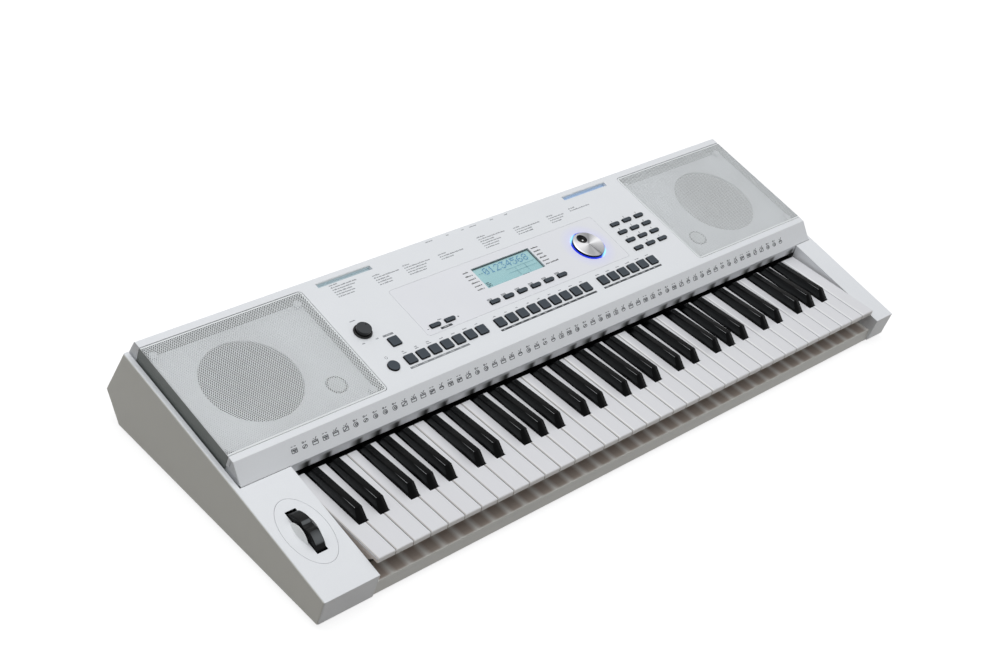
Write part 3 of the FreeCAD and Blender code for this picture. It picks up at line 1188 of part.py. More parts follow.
data_dial = new_body("data_dial")
turned(data_dial, "dial_side",
       [("0", "stem_end"), ("stem_radius", "stem_end"), ("stem_radius", "knob_lift"),
        ("dial_radius", "knob_lift"), ("dial_radius", "dial_height - dial_bevel"),
        ("dial_radius - dial_bevel", "dial_height"), ("0", "dial_height")])
dimple = data_dial.newObject("PartDesign::SubtractiveSphere", "dimple")
DIMPLE_BALL = "(dimple_radius * dimple_radius + dimple_depth * dimple_depth) / (2 * dimple_depth)"
bind(dimple, Radius=DIMPLE_BALL, Placement__Base__x="dimple_shift_x", Placement__Base__y="dimple_shift_v",
     Placement__Base__z=f"dial_height - dimple_depth + {DIMPLE_BALL}")
place_on_deck(data_dial, "dial_x", "dial_v")
keep(data_dial, "data_dial")

dial_ring = new_body("dial_light_ring")
RING_INNER = "dial_radius + dial_ring_gap"
turned(dial_ring, "ring_side",
       [(RING_INNER, "board_top"), (f"{RING_INNER} + dial_ring_width", "board_top"),
        (f"{RING_INNER} + dial_ring_width", "dial_ring_rise"), (RING_INNER, "dial_ring_rise")])
place_on_deck(dial_ring, "dial_x", "dial_v")
keep(dial_ring, "dial_light_ring")


def control_housing(label, x, v):
    """The square housing that a stem turns in, standing on the panel board."""
    body = new_body(label)
    case = rectangle(body, label + "_case", "-encoder_width / 2", "-encoder_width / 2", "encoder_width / 2",
                     "encoder_width / 2", "board_top")
    pad(body, case, "flange_top - board_top")
    bush = discs(body, label + "_bush", [("0", "0")], "bush_radius", "flange_top + seam")
    pocket(body, bush, "flange_top - board_top + 2 * seam")
    place_on_deck(body, x, v)
    return keep(body, label)


control_housing("dial_encoder", "dial_x", "dial_v")
control_housing("volume_control", "power_x", "knob_v")

# Display and boards under the deck

display_panel = new_body("display_panel")
panel_plan = rounded(display_panel, "panel_plan", "inlay_left", "inlay_front", "inlay_right", "inlay_back",
                     "inlay_radius", "-inlay_gauge")
pad(display_panel, panel_plan, "inlay_gauge")
panel_holes = new_sketch(display_panel, "panel_holes", "XY_Plane", "0")
add_rectangle(panel_holes, "window_left", "window_front", "window_right", "window_back")
add_disc(panel_holes, "dial_x", "dial_v", "dial_hole")
for label, x, v, columns, rows in OVAL_GROUPS[:2]:
    for column in range(columns):
        add_round_ended(panel_holes, f"{x} + {column} * oval_pitch", v, "oval_length + 2 * button_gap",
                        "oval_depth + 2 * button_gap")
pocket(display_panel, panel_holes, "inlay_gauge + seam")
place_on_deck(display_panel)
keep(display_panel, "display_panel")

lcd_window = new_body("lcd_window")
window_plan = rectangle(lcd_window, "window_plan", "window_left + inlay_gap", "window_front + inlay_gap",
                        "window_right - inlay_gap", "window_back - inlay_gap", "-window_sink - window_gauge")
pad(lcd_window, window_plan, "window_gauge")
place_on_deck(lcd_window)
keep(lcd_window, "lcd_window")

lcd_module = new_body("lcd_module")
module_plan = rectangle(lcd_module, "module_plan", "window_left - lcd_border", "window_front - lcd_border",
                        "window_right + lcd_border", "window_back + lcd_border", "board_top")
pad(lcd_module, module_plan, "flange_top - board_top")
place_on_deck(lcd_module)
keep(lcd_module, "lcd_module")

button_mat = new_body("button_mat")
mat_plan = rectangle(button_mat, "mat_plan", "-mat_half_width", "mat_front", "mat_half_width", "mat_back",
                     "board_top")
pad(button_mat, mat_plan, "mat_gauge")
mat_holes = new_sketch(button_mat, "mat_holes", "XY_Plane", "mat_top")
add_rectangle(mat_holes, "window_left - lcd_border - seam", "window_front - lcd_border - seam",
              "window_right + lcd_border + seam", "mat_back + seam")
add_disc(mat_holes, "dial_x", "dial_v", "dial_hole")
add_rectangle(mat_holes, "power_x - encoder_width / 2 - seam", "knob_v - encoder_width / 2 - seam",
              "power_x + encoder_width / 2 + seam", "knob_v + encoder_width / 2 + seam")
pocket(button_mat, mat_holes, "mat_gauge + seam")
place_on_deck(button_mat)
keep(button_mat, "button_mat")

panel_board = new_body("panel_board")
board_plan = rectangle(panel_board, "board_plan", "-mat_half_width - panel_board_margin",
                       "mat_front - panel_board_margin", "mat_half_width + panel_board_margin",
                       "mat_back + panel_board_margin", "board_top - board_gauge")
pad(panel_board, board_plan, "board_gauge")
place_on_deck(panel_board)
keep(panel_board, "panel_board")

# Rear sockets


def round_socket(label, place_number, bore, bore_depth, pin_radius=None, count=1):
    """A socket with a round neck through the rear wall and a round nut outside."""
    body = new_body(label)
    case = rectangle(body, label + "_case", "-socket_width / 2", "socket_drop - socket_height / 2",
                     "socket_width / 2", "socket_drop + socket_height / 2", "socket_back")
    pad(body, case, "socket_length")
    neck = discs(body, label + "_neck", [("0", "socket_drop")], "jack_neck", "-rear_wall - seam")
    pad(body, neck, "rear_wall + 2 * seam + jack_nut_height")
    nut = discs(body, label + "_nut", [("0", "socket_drop")], "jack_nut", "seam")
    pad(body, nut, "jack_nut_height")
    mouth = discs(body, label + "_mouth", [("0", "socket_drop")], bore, "seam + jack_nut_height")
    pocket(body, mouth, bore_depth)
    if pin_radius:
        pin = discs(body, label + "_pin", [("0", "socket_drop")], pin_radius,
                    f"seam + jack_nut_height - {bore_depth}")
        pad(body, pin, f"{bore_depth} - jack_nut_height")
    if count > 1:
        repeat_body(body, "socket_pitch", count)
    place_on_rear(body, SOCKET_ROW[place_number])
    return keep(body, label)


round_socket("pedal_jack", 1, "jack_bore", "jack_bore_depth")
round_socket("audio_jacks", 2, "jack_bore", "jack_bore_depth", count=3)
round_socket("power_socket", 5, "power_bore", "power_bore_depth", "power_pin")

usb_socket = new_body("usb_socket")
usb_shell = rectangle(usb_socket, "usb_shell_plan", "-usb_shell / 2", f"socket_drop - ({USB_HEIGHT}) / 2",
                      "usb_shell / 2", f"socket_drop + ({USB_HEIGHT}) / 2", "socket_back")
pad(usb_socket, usb_shell, "-socket_back")
usb_mouth = rectangle(usb_socket, "usb_mouth", "-usb_width / 2", "socket_drop - usb_height / 2",
                      "usb_width / 2", "socket_drop + usb_height / 2")
pocket(usb_socket, usb_mouth, "usb_depth")
place_on_rear(usb_socket, SOCKET_ROW[0])
keep(usb_socket, "usb_socket")

jack_board = new_body("jack_board")
jack_plan = rectangle(jack_board, "jack_plan", f"{SOCKET_ROW[0]} - jack_board_margin",
                      "socket_drop - socket_height", f"{SOCKET_ROW[5]} + jack_board_margin",
                      "socket_drop + socket_height", "socket_back - board_gauge")
pad(jack_board, jack_plan, "board_gauge")
place_on_rear(jack_board)
keep(jack_board, "jack_board")

# Check the document and write one file for each sub-part

doc.recompute()
for item in doc.Objects:
    if "Invalid" in item.State or "Error" in item.State:
        raise RuntimeError(f"{item.Name} did not build: {item.State}")
for item in sub_parts:
    if item.Shape.isNull() or not item.Shape.isValid():
        raise RuntimeError(f"{item.Label} has no valid shape")
os.makedirs("parts", exist_ok=True)
for item in sub_parts:
    item.Shape.exportStep(f"parts/{item.Label}.step")
print(f"{len(sub_parts)} sub-parts written")
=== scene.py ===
import json
import math
import random

import bmesh
import bpy
from mathutils import Matrix, Vector


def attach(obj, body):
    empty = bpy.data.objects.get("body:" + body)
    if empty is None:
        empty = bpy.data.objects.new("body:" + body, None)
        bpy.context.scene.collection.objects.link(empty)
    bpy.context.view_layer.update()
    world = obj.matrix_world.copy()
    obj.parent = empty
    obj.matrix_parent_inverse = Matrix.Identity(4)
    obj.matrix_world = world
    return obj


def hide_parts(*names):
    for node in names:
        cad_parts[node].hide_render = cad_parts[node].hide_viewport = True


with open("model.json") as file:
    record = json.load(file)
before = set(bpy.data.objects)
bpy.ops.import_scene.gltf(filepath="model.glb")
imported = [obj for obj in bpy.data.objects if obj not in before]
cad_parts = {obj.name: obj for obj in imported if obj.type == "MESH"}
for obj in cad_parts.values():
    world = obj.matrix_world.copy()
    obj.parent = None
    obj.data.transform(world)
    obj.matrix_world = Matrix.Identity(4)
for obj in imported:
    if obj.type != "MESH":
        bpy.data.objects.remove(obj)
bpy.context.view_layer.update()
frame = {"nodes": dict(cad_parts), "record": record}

scene = bpy.context.scene
MM = 0.001


def slope_frame(y, z, slope):
    """A frame in millimetres that starts at (y, z) and runs back along a slope given in degrees."""
    start = Matrix.Translation(Vector((0, y, z)) * MM)
    return start @ Matrix.Rotation(math.radians(slope), 4, "X") @ Matrix.Diagonal((MM, MM, MM, 1))


# Frames of the surfaces that carry the details: X to the right, Y up the slope, Z out of the surface
ON_DECK = slope_frame(-15.2, 90.25, 9.77)
ON_FALLBOARD = (ON_DECK @ Matrix.Translation((0, -27.1, -17.95))
                @ Matrix.Rotation(math.atan2(17.6, 20.1), 4, "X"))
ON_CHEEK = slope_frame(-188.1, 39.9, 10.649)

# Places and sizes that part.py gives to the pieces, in millimetres
DECK_END, CHEEK_OUTSIDE = 470.85, -470.0
GRILLE_INNER, GRILLE_FRONT, GRILLE_BACK, GRILLE_RADIUS = 261.0, 1.4, 162.8, 5.0
SKIRT_DROP, RIM_DROP, WELL_FLOOR = 20.5, 10.0, -9.95
BUTTON_WIDTH, BUTTON_DEPTH, BUTTON_RADIUS, BUTTON_RISE = 13.3, 13.0, 1.3, 2.2
LEFT_ROW_X, MIDDLE_ROW_X, RIGHT_ROW_X, ROW_V, ROW_PITCH = -209.2, -71.6, 103.2, 25.7, 18.05
SINGLE_V = 55.0
OVAL_LENGTH, OVAL_DEPTH, OVAL_PITCH, OVAL_V = 15.2, 5.6, 22.5, 54.9
TEMPO_X, DISPLAY_ROW_X = -148.3, -54.3
KEYPAD_X, KEYPAD_V, KEYPAD_ROW_PITCH = 193.4, 50.5, 15.25
POWER_X, POWER_RADIUS, KNOB_V = -234.0, 7.2, 82.0
DIAL_X, DIAL_V, DIAL_RADIUS, DIAL_TOP = 128.9, 80.7, 21.0, 3.6
WINDOW_LEFT, WINDOW_FRONT, WINDOW_RIGHT, WINDOW_BACK = -46.7, 75.3, 48.7, 109.6
WHEEL_X, WHEEL_REACH, WHEEL_RADIUS, WHEEL_AXLE = -442.95, 78.2, 28.0, -16.5
WHEEL_SLOT_WIDTH, WHEEL_SLOT_LENGTH = 13.6, 56.2
FLANGE_TOP, FLANGE_BOTTOM, FLANGE_REACH = -3.3, -4.8, 1.0
KEYS_START, KEY_PITCH, KEY_TOP, KEY_TOPS_END = -405.65, 23.5, 52.0, -41.3
BLACK_KEY_PLACES = (21.15, 49.35, 91.0, 117.5, 144.0)
BLACK_TOP, BLACK_FRONT, BLACK_BACK = 63.5, -118.6, -49.3
LEDGE_TOP, LEDGE_FRONT, FRAME_FRONT = 22.0, -181.5, -152.0
STRIP_BACK, SHADE_TOP = -37.4, 66.0
TWEETER_X, TWEETER_V = 301.5, 37.5
SLOT_INNER, SLOT_OUTER, SLOT_FRONT, SLOT_BACK = 159.9, 238.6, 158.2, 164.8

# The way that the upper left edges of the black keys face, and where the painted highlight on them ends
BLACK_EDGE_WAY, PAINTED_GLEAM_END = (-0.55, 0.0, 0.835), -98.0

# Painted bright and dark fans round the spun dial, for its reflections: degrees from its right-hand side, and
# grey level
DIAL_PAINTED_FANS = [(1, 250), (8, 252), (33, 196), (50, 140), (68, 150), (97, 185), (130, 192), (158, 248),
             (176, 250), (200, 222), (230, 172), (248, 164), (268, 178), (276, 140), (281, 92), (287, 150),
             (317, 182), (342, 208), (359, 250)]


# Materials

def tone(red, green, blue):
    """A colour as it should look on a screen, as the linear values that a shader takes."""
    linear = [((c / 255 + 0.055) / 1.055) ** 2.4 if c > 10 else c / 255 / 12.92 for c in (red, green, blue)]
    return (*linear, 1.0)


def scaled(colour, factor):
    return (*(min(1.0, c * factor) for c in colour[:3]), 1.0)


WHITE = tone(236, 238, 241)


class Nodes:
    """A tree of nodes, and short calls that add to it."""

    def __init__(self, tree):
        self.tree = tree

    def put(self, node, values):
        """Set or link inputs of a node, each by its name or its number."""
        for label, value in values.items():
            if isinstance(value, bpy.types.NodeSocket):
                self.tree.links.new(value, node.inputs[label])
            else:
                node.inputs[label].default_value = value

    def add(self, kind, values=None, **settings):
        node = self.tree.nodes.new(kind)
        for label, value in settings.items():
            setattr(node, label, value)
        self.put(node, values or {})
        return node

    def out(self, kind, values=None, **settings):
        """The first output of a new node."""
        return self.add(kind, values, **settings).outputs[0]

    def maths(self, operation, one, other=0.0):
        return self.out("ShaderNodeMath", {0: one, 1: other}, operation=operation)


class Finish(Nodes):
    """A material with one Principled shader, and short calls that paint it."""

    def __init__(self, name, colour, roughness, **sockets):
        self.material = bpy.data.materials.new(name)
        self.material.use_nodes = True
        super().__init__(self.material.node_tree)
        self.shader = self.tree.nodes["Principled BSDF"]
        self.place = self.add("ShaderNodeTexCoord").outputs["Object"]
        self.put(self.shader, {"Base Color": colour, "Roughness": roughness})
        self.put(self.shader, {label.replace("_", " "): value for label, value in sockets.items()})

    def noise(self, size, detail=2.0, stretch=None):
        """Noise whose grains are about this many metres across."""
        place = self.place
        if stretch:
            place = self.out("ShaderNodeMapping", {"Vector": place, "Scale": stretch})
        return self.out("ShaderNodeTexNoise", {"Vector": place, "Scale": 1 / size, "Detail": detail})

    def spread(self, source, low, high, start=0.3, end=0.7):
        values = {"Value": source, "From Min": start, "From Max": end, "To Min": low, "To Max": high}
        return self.out("ShaderNodeMapRange", values)

    def rise(self, source, start, end):
        return self.spread(source, 0.0, 1.0, start, end)

    def fall(self, source, start, end):
        return self.spread(source, 1.0, 0.0, start, end)

    def blend(self, factor, one, other):
        node = self.add("ShaderNodeMix", data_type="RGBA")
        self.put(node, {0: factor, 6: one, 7: other})
        return node.outputs[2]

    def part(self, vector, number):
        """One of the three parts of a vector."""
        return self.add("ShaderNodeSeparateXYZ", {"Vector": vector}).outputs[number]

    def axis(self, number):
        """A coordinate of the piece in millimetres."""
        return self.maths("MULTIPLY", self.part(self.place, number), 1 / MM)

    def normal(self):
        return self.add("ShaderNodeNewGeometry").outputs["Normal"]

    def facing(self, number, start, end):
        """How far a surface faces along an axis, from 0 to 1 between two values of its normal."""
        return self.rise(self.part(self.normal(), number), start, end)

    def reach(self, x, v, height=0.0):
        """Distance in millimetres from a point of the deck."""
        centre = ON_DECK @ Vector((x, v, height))
        gap = self.add("ShaderNodeVectorMath", {0: self.place, 1: centre}, operation="DISTANCE")
        return self.maths("MULTIPLY", gap.outputs["Value"], 1 / MM)

    def gleam(self, way, start, end, soften=0.0):
        """Where a surface or its softened edge faces close to one way, from 0 to 1."""
        surface = self.out("ShaderNodeBevel", {"Radius": soften}, samples=4) if soften else self.normal()
        toward = self.add("ShaderNodeVectorMath", {0: surface, 1: Vector(way).normalized()},
                          operation="DOT_PRODUCT")
        return self.rise(toward.outputs["Value"], start, end)

    def along_keys(self, pitch):
        """Place along the row of keys in millimetres, counted afresh at each pitch."""
        count = self.maths("DIVIDE", self.maths("SUBTRACT", self.axis(0), KEYS_START), pitch)
        return self.maths("MULTIPLY", self.maths("FRACT", count), pitch)

    def nearest(self, along, places):
        """Distance to the nearest of some places on a line."""
        gap = None
        for place in places:
            here = self.maths("ABSOLUTE", self.maths("SUBTRACT", along, place))
            gap = self.maths("MINIMUM", gap, here) if gap else here
        return gap

    def both(self, *masks):
        mask = masks[0]
        for other in masks[1:]:
            mask = self.maths("MULTIPLY", mask, other)
        return mask

    def inverse(self, mask):
        return self.maths("SUBTRACT", 1.0, mask)

    def colour(self, socket):
        self.put(self.shader, {"Base Color": socket})

    def cover(self, mask, colour):
        """Paint a colour over what is there, as far as a mask says."""
        under = self.shader.inputs["Base Color"].links[0].from_socket
        self.colour(self.blend(mask, under, colour))

    def rough(self, socket):
        self.put(self.shader, {"Roughness": socket})

    def relief(self, height, depth, soften=0.0):
        """Bump of a depth in metres, on edges that are a little round."""
        bump = self.add("ShaderNodeBump", {"Height": height, "Distance": depth, "Strength": 1.0})
        if soften:
            self.put(bump, {"Normal": self.out("ShaderNodeBevel", {"Radius": soften}, samples=4)})
        self.put(self.shader, {"Normal": bump.outputs[0]})


def moulded(name, colour, roughness, grain=0.0005, depth=0.000006, mottle=0.02, soften=0.0005, patchy=0.05,
            **sockets):
    """Moulded plastic: fine grain, slow changes of tone and gloss, and edges that are a little round."""
    finish = Finish(name, colour, roughness, **sockets)
    slow = finish.spread(finish.noise(0.05, 3.0), 0.0, 1.0)
    finish.colour(finish.blend(slow, scaled(colour, 1 - mottle), scaled(colour, 1 + mottle)))
    finish.rough(finish.spread(finish.noise(0.012, 3.0), roughness - patchy, roughness + patchy))
    if depth:
        finish.relief(finish.noise(grain), depth, soften)
    return finish


def painted(name, colour, roughness, depth=0.000004):
    """Plain paint on sheet metal or a lining, with sharp edges."""
    return moulded(name, colour, roughness, 0.0006, depth, 0.02, 0.0)


def ink(name, colour, roughness=0.6, mottle=0.05):
    """Thin print on the deck, or the dark marks and the painted frame shadow of the display."""
    return moulded(name, colour, roughness, 0.0005, 0.000002, mottle, 0.0)


def pearl(name, colour, roughness, soften=0.0005, **sockets):
    """Pearl white paint: tiny flakes that differ a little in tone, under a thin clear coat."""
    finish = moulded(name, colour, roughness, 0.0007, 0.000004, 0.012, soften, **sockets)
    finish.cover(finish.rise(finish.noise(0.00035, 1.0), 0.35, 0.65), scaled(colour, 0.95))
    return finish


def case_pearl():
    """Pearl white; on the strip above the key tails, a painted soft shade and a darker painted core behind
    each black key stand in for their shadow and reflection.
    """
    finish = pearl("case_pearl", WHITE, 0.36, Coat_Weight=0.12, Coat_Roughness=0.2)
    strip = finish.both(finish.fall(finish.axis(1), STRIP_BACK - 0.2, STRIP_BACK),
                        finish.fall(finish.axis(2), SHADE_TOP - 3.5, SHADE_TOP))
    along = finish.along_keys(7 * KEY_PITCH)
    # Painted soft shade, then the darker painted core, of the black keys on the strip
    for shift, start, end, grey in ((5.5, 2.0, 10.0, tone(150, 151, 151)), (2.0, 1.5, 5.5, tone(66, 67, 67))):
        gap = finish.nearest(along, [place - shift for place in BLACK_KEY_PLACES])
        finish.cover(finish.both(strip, finish.fall(gap, start, end)), grey)
    return finish


def base_pearl():
    """Pale grey lower case; its ledge has a painted reflection of the dark undersides of the white keys."""
    finish = pearl("base_pearl", tone(234, 233, 228), 0.36, 0.0)
    ledge = finish.both(finish.facing(2, 0.6, 0.9),
                        finish.rise(finish.axis(2), LEDGE_TOP - 1.0, LEDGE_TOP - 0.5),
                        finish.rise(finish.axis(1), LEDGE_FRONT, LEDGE_FRONT + 2.5))
    # Painted reflection: darkest under the middle of each key, paler at the gaps
    middle = finish.nearest(finish.along_keys(KEY_PITCH), [KEY_PITCH / 2])
    dark = finish.spread(middle, 1.0, 0.25, 0.22 * KEY_PITCH, 0.48 * KEY_PITCH)
    finish.cover(finish.both(ledge, dark), tone(176, 163, 153))
    return finish


def cheek_pearl():
    """Pearl white; the outer side on the left is painted in a warm shade."""
    finish = pearl("cheek_pearl", WHITE, 0.36, Coat_Weight=0.12, Coat_Roughness=0.2)
    outside = finish.both(finish.facing(0, -0.5, -0.9),
                          finish.fall(finish.axis(0), CHEEK_OUTSIDE, CHEEK_OUTSIDE + 5.0))
    finish.cover(outside, tone(219, 218, 210))
    return finish


def white_keys():
    """White tops; painted shade and, further right, a painted highlight along each round left edge; fronts
    painted lighter, lower sides a warm painted shade; dark tails.
    """
    finish = moulded("key_ivory_white", tone(225, 225, 228), 0.3, 0.0012, 0.0, 0.01, patchy=0.008)
    from_edge, top = finish.along_keys(KEY_PITCH), finish.facing(2, 0.5, 0.9)
    # Painted shade along the round left edge of each top, on the left of the row
    shade = finish.both(top, finish.fall(from_edge, 1.4, 2.4), finish.fall(finish.axis(0), 0.0, 350.0))
    finish.cover(shade, tone(186, 181, 177))
    # Painted highlight along the same edge, on the right of the row
    gleam = finish.both(top, finish.rise(from_edge, 1.8, 2.5), finish.fall(from_edge, 3.4, 4.2),
                        finish.rise(finish.axis(0), -250.0, 0.0))
    finish.cover(gleam, tone(243, 243, 244))
    # Front faces painted lighter, for the light that falls on them
    finish.cover(finish.facing(1, -0.5, -0.9), tone(243, 241, 239))
    # Lower sides painted a warm shade, in the gaps between the keys
    low = finish.fall(finish.axis(2), KEY_TOP - 3.0, KEY_TOP - 1.0)
    side = finish.inverse(finish.both(finish.facing(0, -0.8, -0.5), finish.facing(0, 0.8, 0.5)))
    finish.cover(finish.both(low, side), tone(208, 198, 190))
    finish.cover(finish.rise(finish.axis(1), KEY_TOPS_END - 0.25, KEY_TOPS_END + 0.05), tone(10, 10, 11))
    return finish


def black_keys():
    """Deep black tops; left sides painted lighter, with painted shade towards the top, and a painted
    highlight along the front of the upper left edge.
    """
    finish = moulded("key_gloss_black", tone(3, 4, 5), 0.25, 0.0012, 0.000002, 0.05, 0.0,
                     Specular_IOR_Level=0.06)
    # Left sides painted lighter, for the light that falls on them
    left = finish.facing(0, -0.8, -0.95)
    finish.cover(left, tone(54, 56, 57))
    # Painted shade on the upper part of the left sides
    upper = finish.both(left, finish.rise(finish.axis(2), KEY_TOP + 2.0, BLACK_TOP - 0.5))
    finish.cover(upper, tone(30, 31, 32))
    # Painted highlight along the upper left edge, near the front
    painted_highlight = finish.both(finish.gleam(BLACK_EDGE_WAY, 0.955, 0.985),
                        finish.fall(finish.axis(1), BLACK_FRONT, PAINTED_GLEAM_END))
    finish.cover(painted_highlight, tone(165, 167, 169))
    return finish


def button_caps():
    """Slate grey tops; the sides are painted dark for the shade they stand in."""
    finish = moulded("button_slate", tone(71, 78, 85), 0.45, 0.0004, 0.000008, 0.03, 0.0002,
                     Specular_IOR_Level=0.12)
    finish.cover(finish.inverse(finish.facing(2, 0.45, 0.8)), tone(20, 22, 24))
    return finish


def wheel_rubber():
    """Black rubber with a painted highlight on the slopes that face the lamp."""
    finish = moulded("wheel_rubber_black", tone(13, 14, 15), 0.30, 0.0005, 0.000006, 0.04, 0.0004,
                     Specular_IOR_Level=0.12)
    finish.cover(finish.gleam((0.0, -0.62, 0.78), 0.955, 1.0, 0.0004), tone(104, 107, 109))
    return finish


def painted_light_right(finish, colour):
    """Painted lighter in the right half, standing in for the light that reaches in there through the grille.
    """
    finish.cover(finish.rise(finish.axis(0), -1.0, 1.0), colour)
    return finish


def slot_liner(name, floor, wall):
    """Lining of a music rest slot: its wall lies in the shade, so it is painted paler than the floor to make
    up for it.
    """
    finish = painted(name, floor, 0.4)
    finish.cover(finish.facing(1, -0.5, -0.9), wall)
    return finish


def frame_sheet():
    """Dark sheet, painted paler along its front where the ledge lights it, which shows below the keys."""
    finish = metal("frame_sheet", tone(44, 44, 46), 0.5, 0.002, (1, 8, 1))
    finish.cover(finish.fall(finish.axis(1), FRAME_FRONT, FRAME_FRONT + 4.0), tone(176, 172, 166))
    return finish


def tweeter_dome():
    """Pale dome in a dark ring."""
    finish = moulded("tweeter_plastic", tone(206, 208, 208), 0.5)
    reach = finish.maths("MINIMUM", *[finish.reach(side * TWEETER_X, TWEETER_V, -10.0) for side in (-1, 1)])
    finish.cover(finish.rise(reach, 9.4, 10.2), tone(44, 44, 45))
    return finish


def metal(name, colour, roughness, grain, stretch=(1, 1, 1)):
    """Metal with a fine drawn grain."""
    finish = Finish(name, colour, roughness, Metallic=1.0)
    drawn = finish.noise(grain, 3.0, stretch)
    finish.colour(finish.blend(finish.spread(drawn, 0.0, 1.0), scaled(colour, 0.9), scaled(colour, 1.05)))
    finish.rough(finish.spread(drawn, roughness - 0.06, roughness + 0.08))
    finish.relief(drawn, 0.000004, 0.0003)
    return finish


def woven(name, colour, roughness, size, depth):
    """Felt, paper and boards: an open grain with spots of tone."""
    finish = Finish(name, colour, roughness)
    spots = finish.noise(size, 5.0)
    finish.colour(finish.blend(finish.spread(spots, 0.0, 1.0), scaled(colour, 0.75), scaled(colour, 1.2)))
    finish.relief(spots, depth)
    return finish


def display_cell():
    """Blue-green display cell, lit from behind, a little brighter at its back edge."""
    light, dark = tone(168, 203, 206), tone(152, 190, 195)
    finish = Finish("display_cell_teal", light, 0.4, Emission_Strength=0.6, Specular_IOR_Level=0.0)
    front, back = [(ON_DECK @ Vector((0, v, 0))).y / MM for v in (WINDOW_FRONT, WINDOW_BACK)]
    shade = finish.blend(finish.rise(finish.axis(1), front, back), dark, light)
    shade = finish.blend(finish.spread(finish.noise(0.04), 0.0, 0.25), shade, light)
    finish.colour(finish.blend(0.5, shade, (0.0, 0.0, 0.0, 1.0)))
    finish.put(finish.shader, {"Emission Color": shade})
    return finish


def display_window():
    """Clear window: little more than its gloss shows."""
    finish = Finish("display_window_clear", tone(158, 206, 211), 0.12, Alpha=0.02, Specular_IOR_Level=0.1)
    finish.rough(finish.spread(finish.noise(0.03), 0.10, 0.14))
    return finish


def panel_satin():
    """Satin white panel, with a painted glow of the ring light round the dial."""
    finish = moulded("panel_satin", tone(233, 234, 238), 0.34, 0.0006, 0.000004, 0.008, 0.0003)
    painted_halo = finish.fall(finish.reach(DIAL_X, DIAL_V), DIAL_RADIUS + 1.0, DIAL_RADIUS + 17.0)
    finish.cover(painted_halo, tone(226, 226, 252))
    return finish


def ring_light():
    """Blue light ring, paler at two opposite ends."""
    finish = Finish("ring_light_blue", tone(4, 10, 60), 0.3, Emission_Strength=2.2)
    centre = ON_DECK @ Vector((DIAL_X, DIAL_V, 0))
    local = finish.out("ShaderNodeMapping", {"Vector": finish.place, "Location": -centre})
    slant = finish.out("ShaderNodeMapping", {"Vector": local, "Rotation": (0, 0, math.radians(55))})
    ends = finish.rise(finish.maths("ABSOLUTE", finish.part(slant, 0)), 0.0195, 0.0222)
    deep, pale = (0.004, 0.015, 0.34, 1), (0.2, 0.5, 0.62, 1)
    finish.put(finish.shader, {"Emission Color": finish.blend(ends, deep, pale)})
    finish.relief(finish.noise(0.002), 0.00001)
    return finish


def spun_metal():
    """Silver turned on a lathe: painted bright and dark fans, standing in for its reflections, run out from
    the middle, over fine rings.
    """
    finish = Finish("spun_silver", tone(205, 205, 208), 0.30, Metallic=1.0, Anisotropic=0.7)
    around = finish.out("ShaderNodeTangent", direction_type="UV_MAP", uv_map="turning")
    finish.put(finish.shader, {"Tangent": around})
    uv = finish.out("ShaderNodeUVMap", uv_map="turning")
    fans = finish.add("ShaderNodeValToRGB", {0: finish.maths("FRACT", finish.part(uv, 0))})
    stops = fans.color_ramp.elements
    for place, level in DIAL_PAINTED_FANS:
        stops.new(place / 360).color = tone(level, level, level + 2)
    stops.remove(stops[0])
    stops.remove(stops[-1])
    grooves = finish.out("ShaderNodeMapping", {"Vector": uv, "Scale": (2.0, 90.0, 1.0)})
    rings = finish.out("ShaderNodeTexNoise", {"Vector": grooves, "Scale": 1.0, "Detail": 3.0})
    finish.colour(finish.blend(finish.spread(rings, 0.0, 0.25), fans.outputs[0], tone(176, 176, 180)))
    finish.rough(finish.spread(rings, 0.26, 0.36))
    finish.relief(rings, 0.000003)
    return finish


def dimple_black():
    """Glossy black hollow with one painted glint where it faces the lamp."""
    finish = moulded("dimple_black", tone(8, 8, 9), 0.2, 0.001, 0.000002, 0.05, 0.0, Specular_IOR_Level=0.1)
    finish.cover(finish.gleam((-0.105, -0.088, 0.99), 0.9952, 0.998, 0.0002), tone(252, 252, 252))
    return finish


def circuit_board():
    """Green board with paler tracks."""
    finish = woven("board_green", tone(28, 84, 54), 0.45, 0.001, 0.00001)
    tracks = finish.add("ShaderNodeTexBrick", {"Vector": finish.place, "Scale": 120.0})
    finish.put(tracks, {"Color1": tone(24, 78, 50), "Color2": tone(30, 92, 58), "Mortar": tone(70, 130, 80)})
    finish.colour(tracks.outputs[0])
    return finish


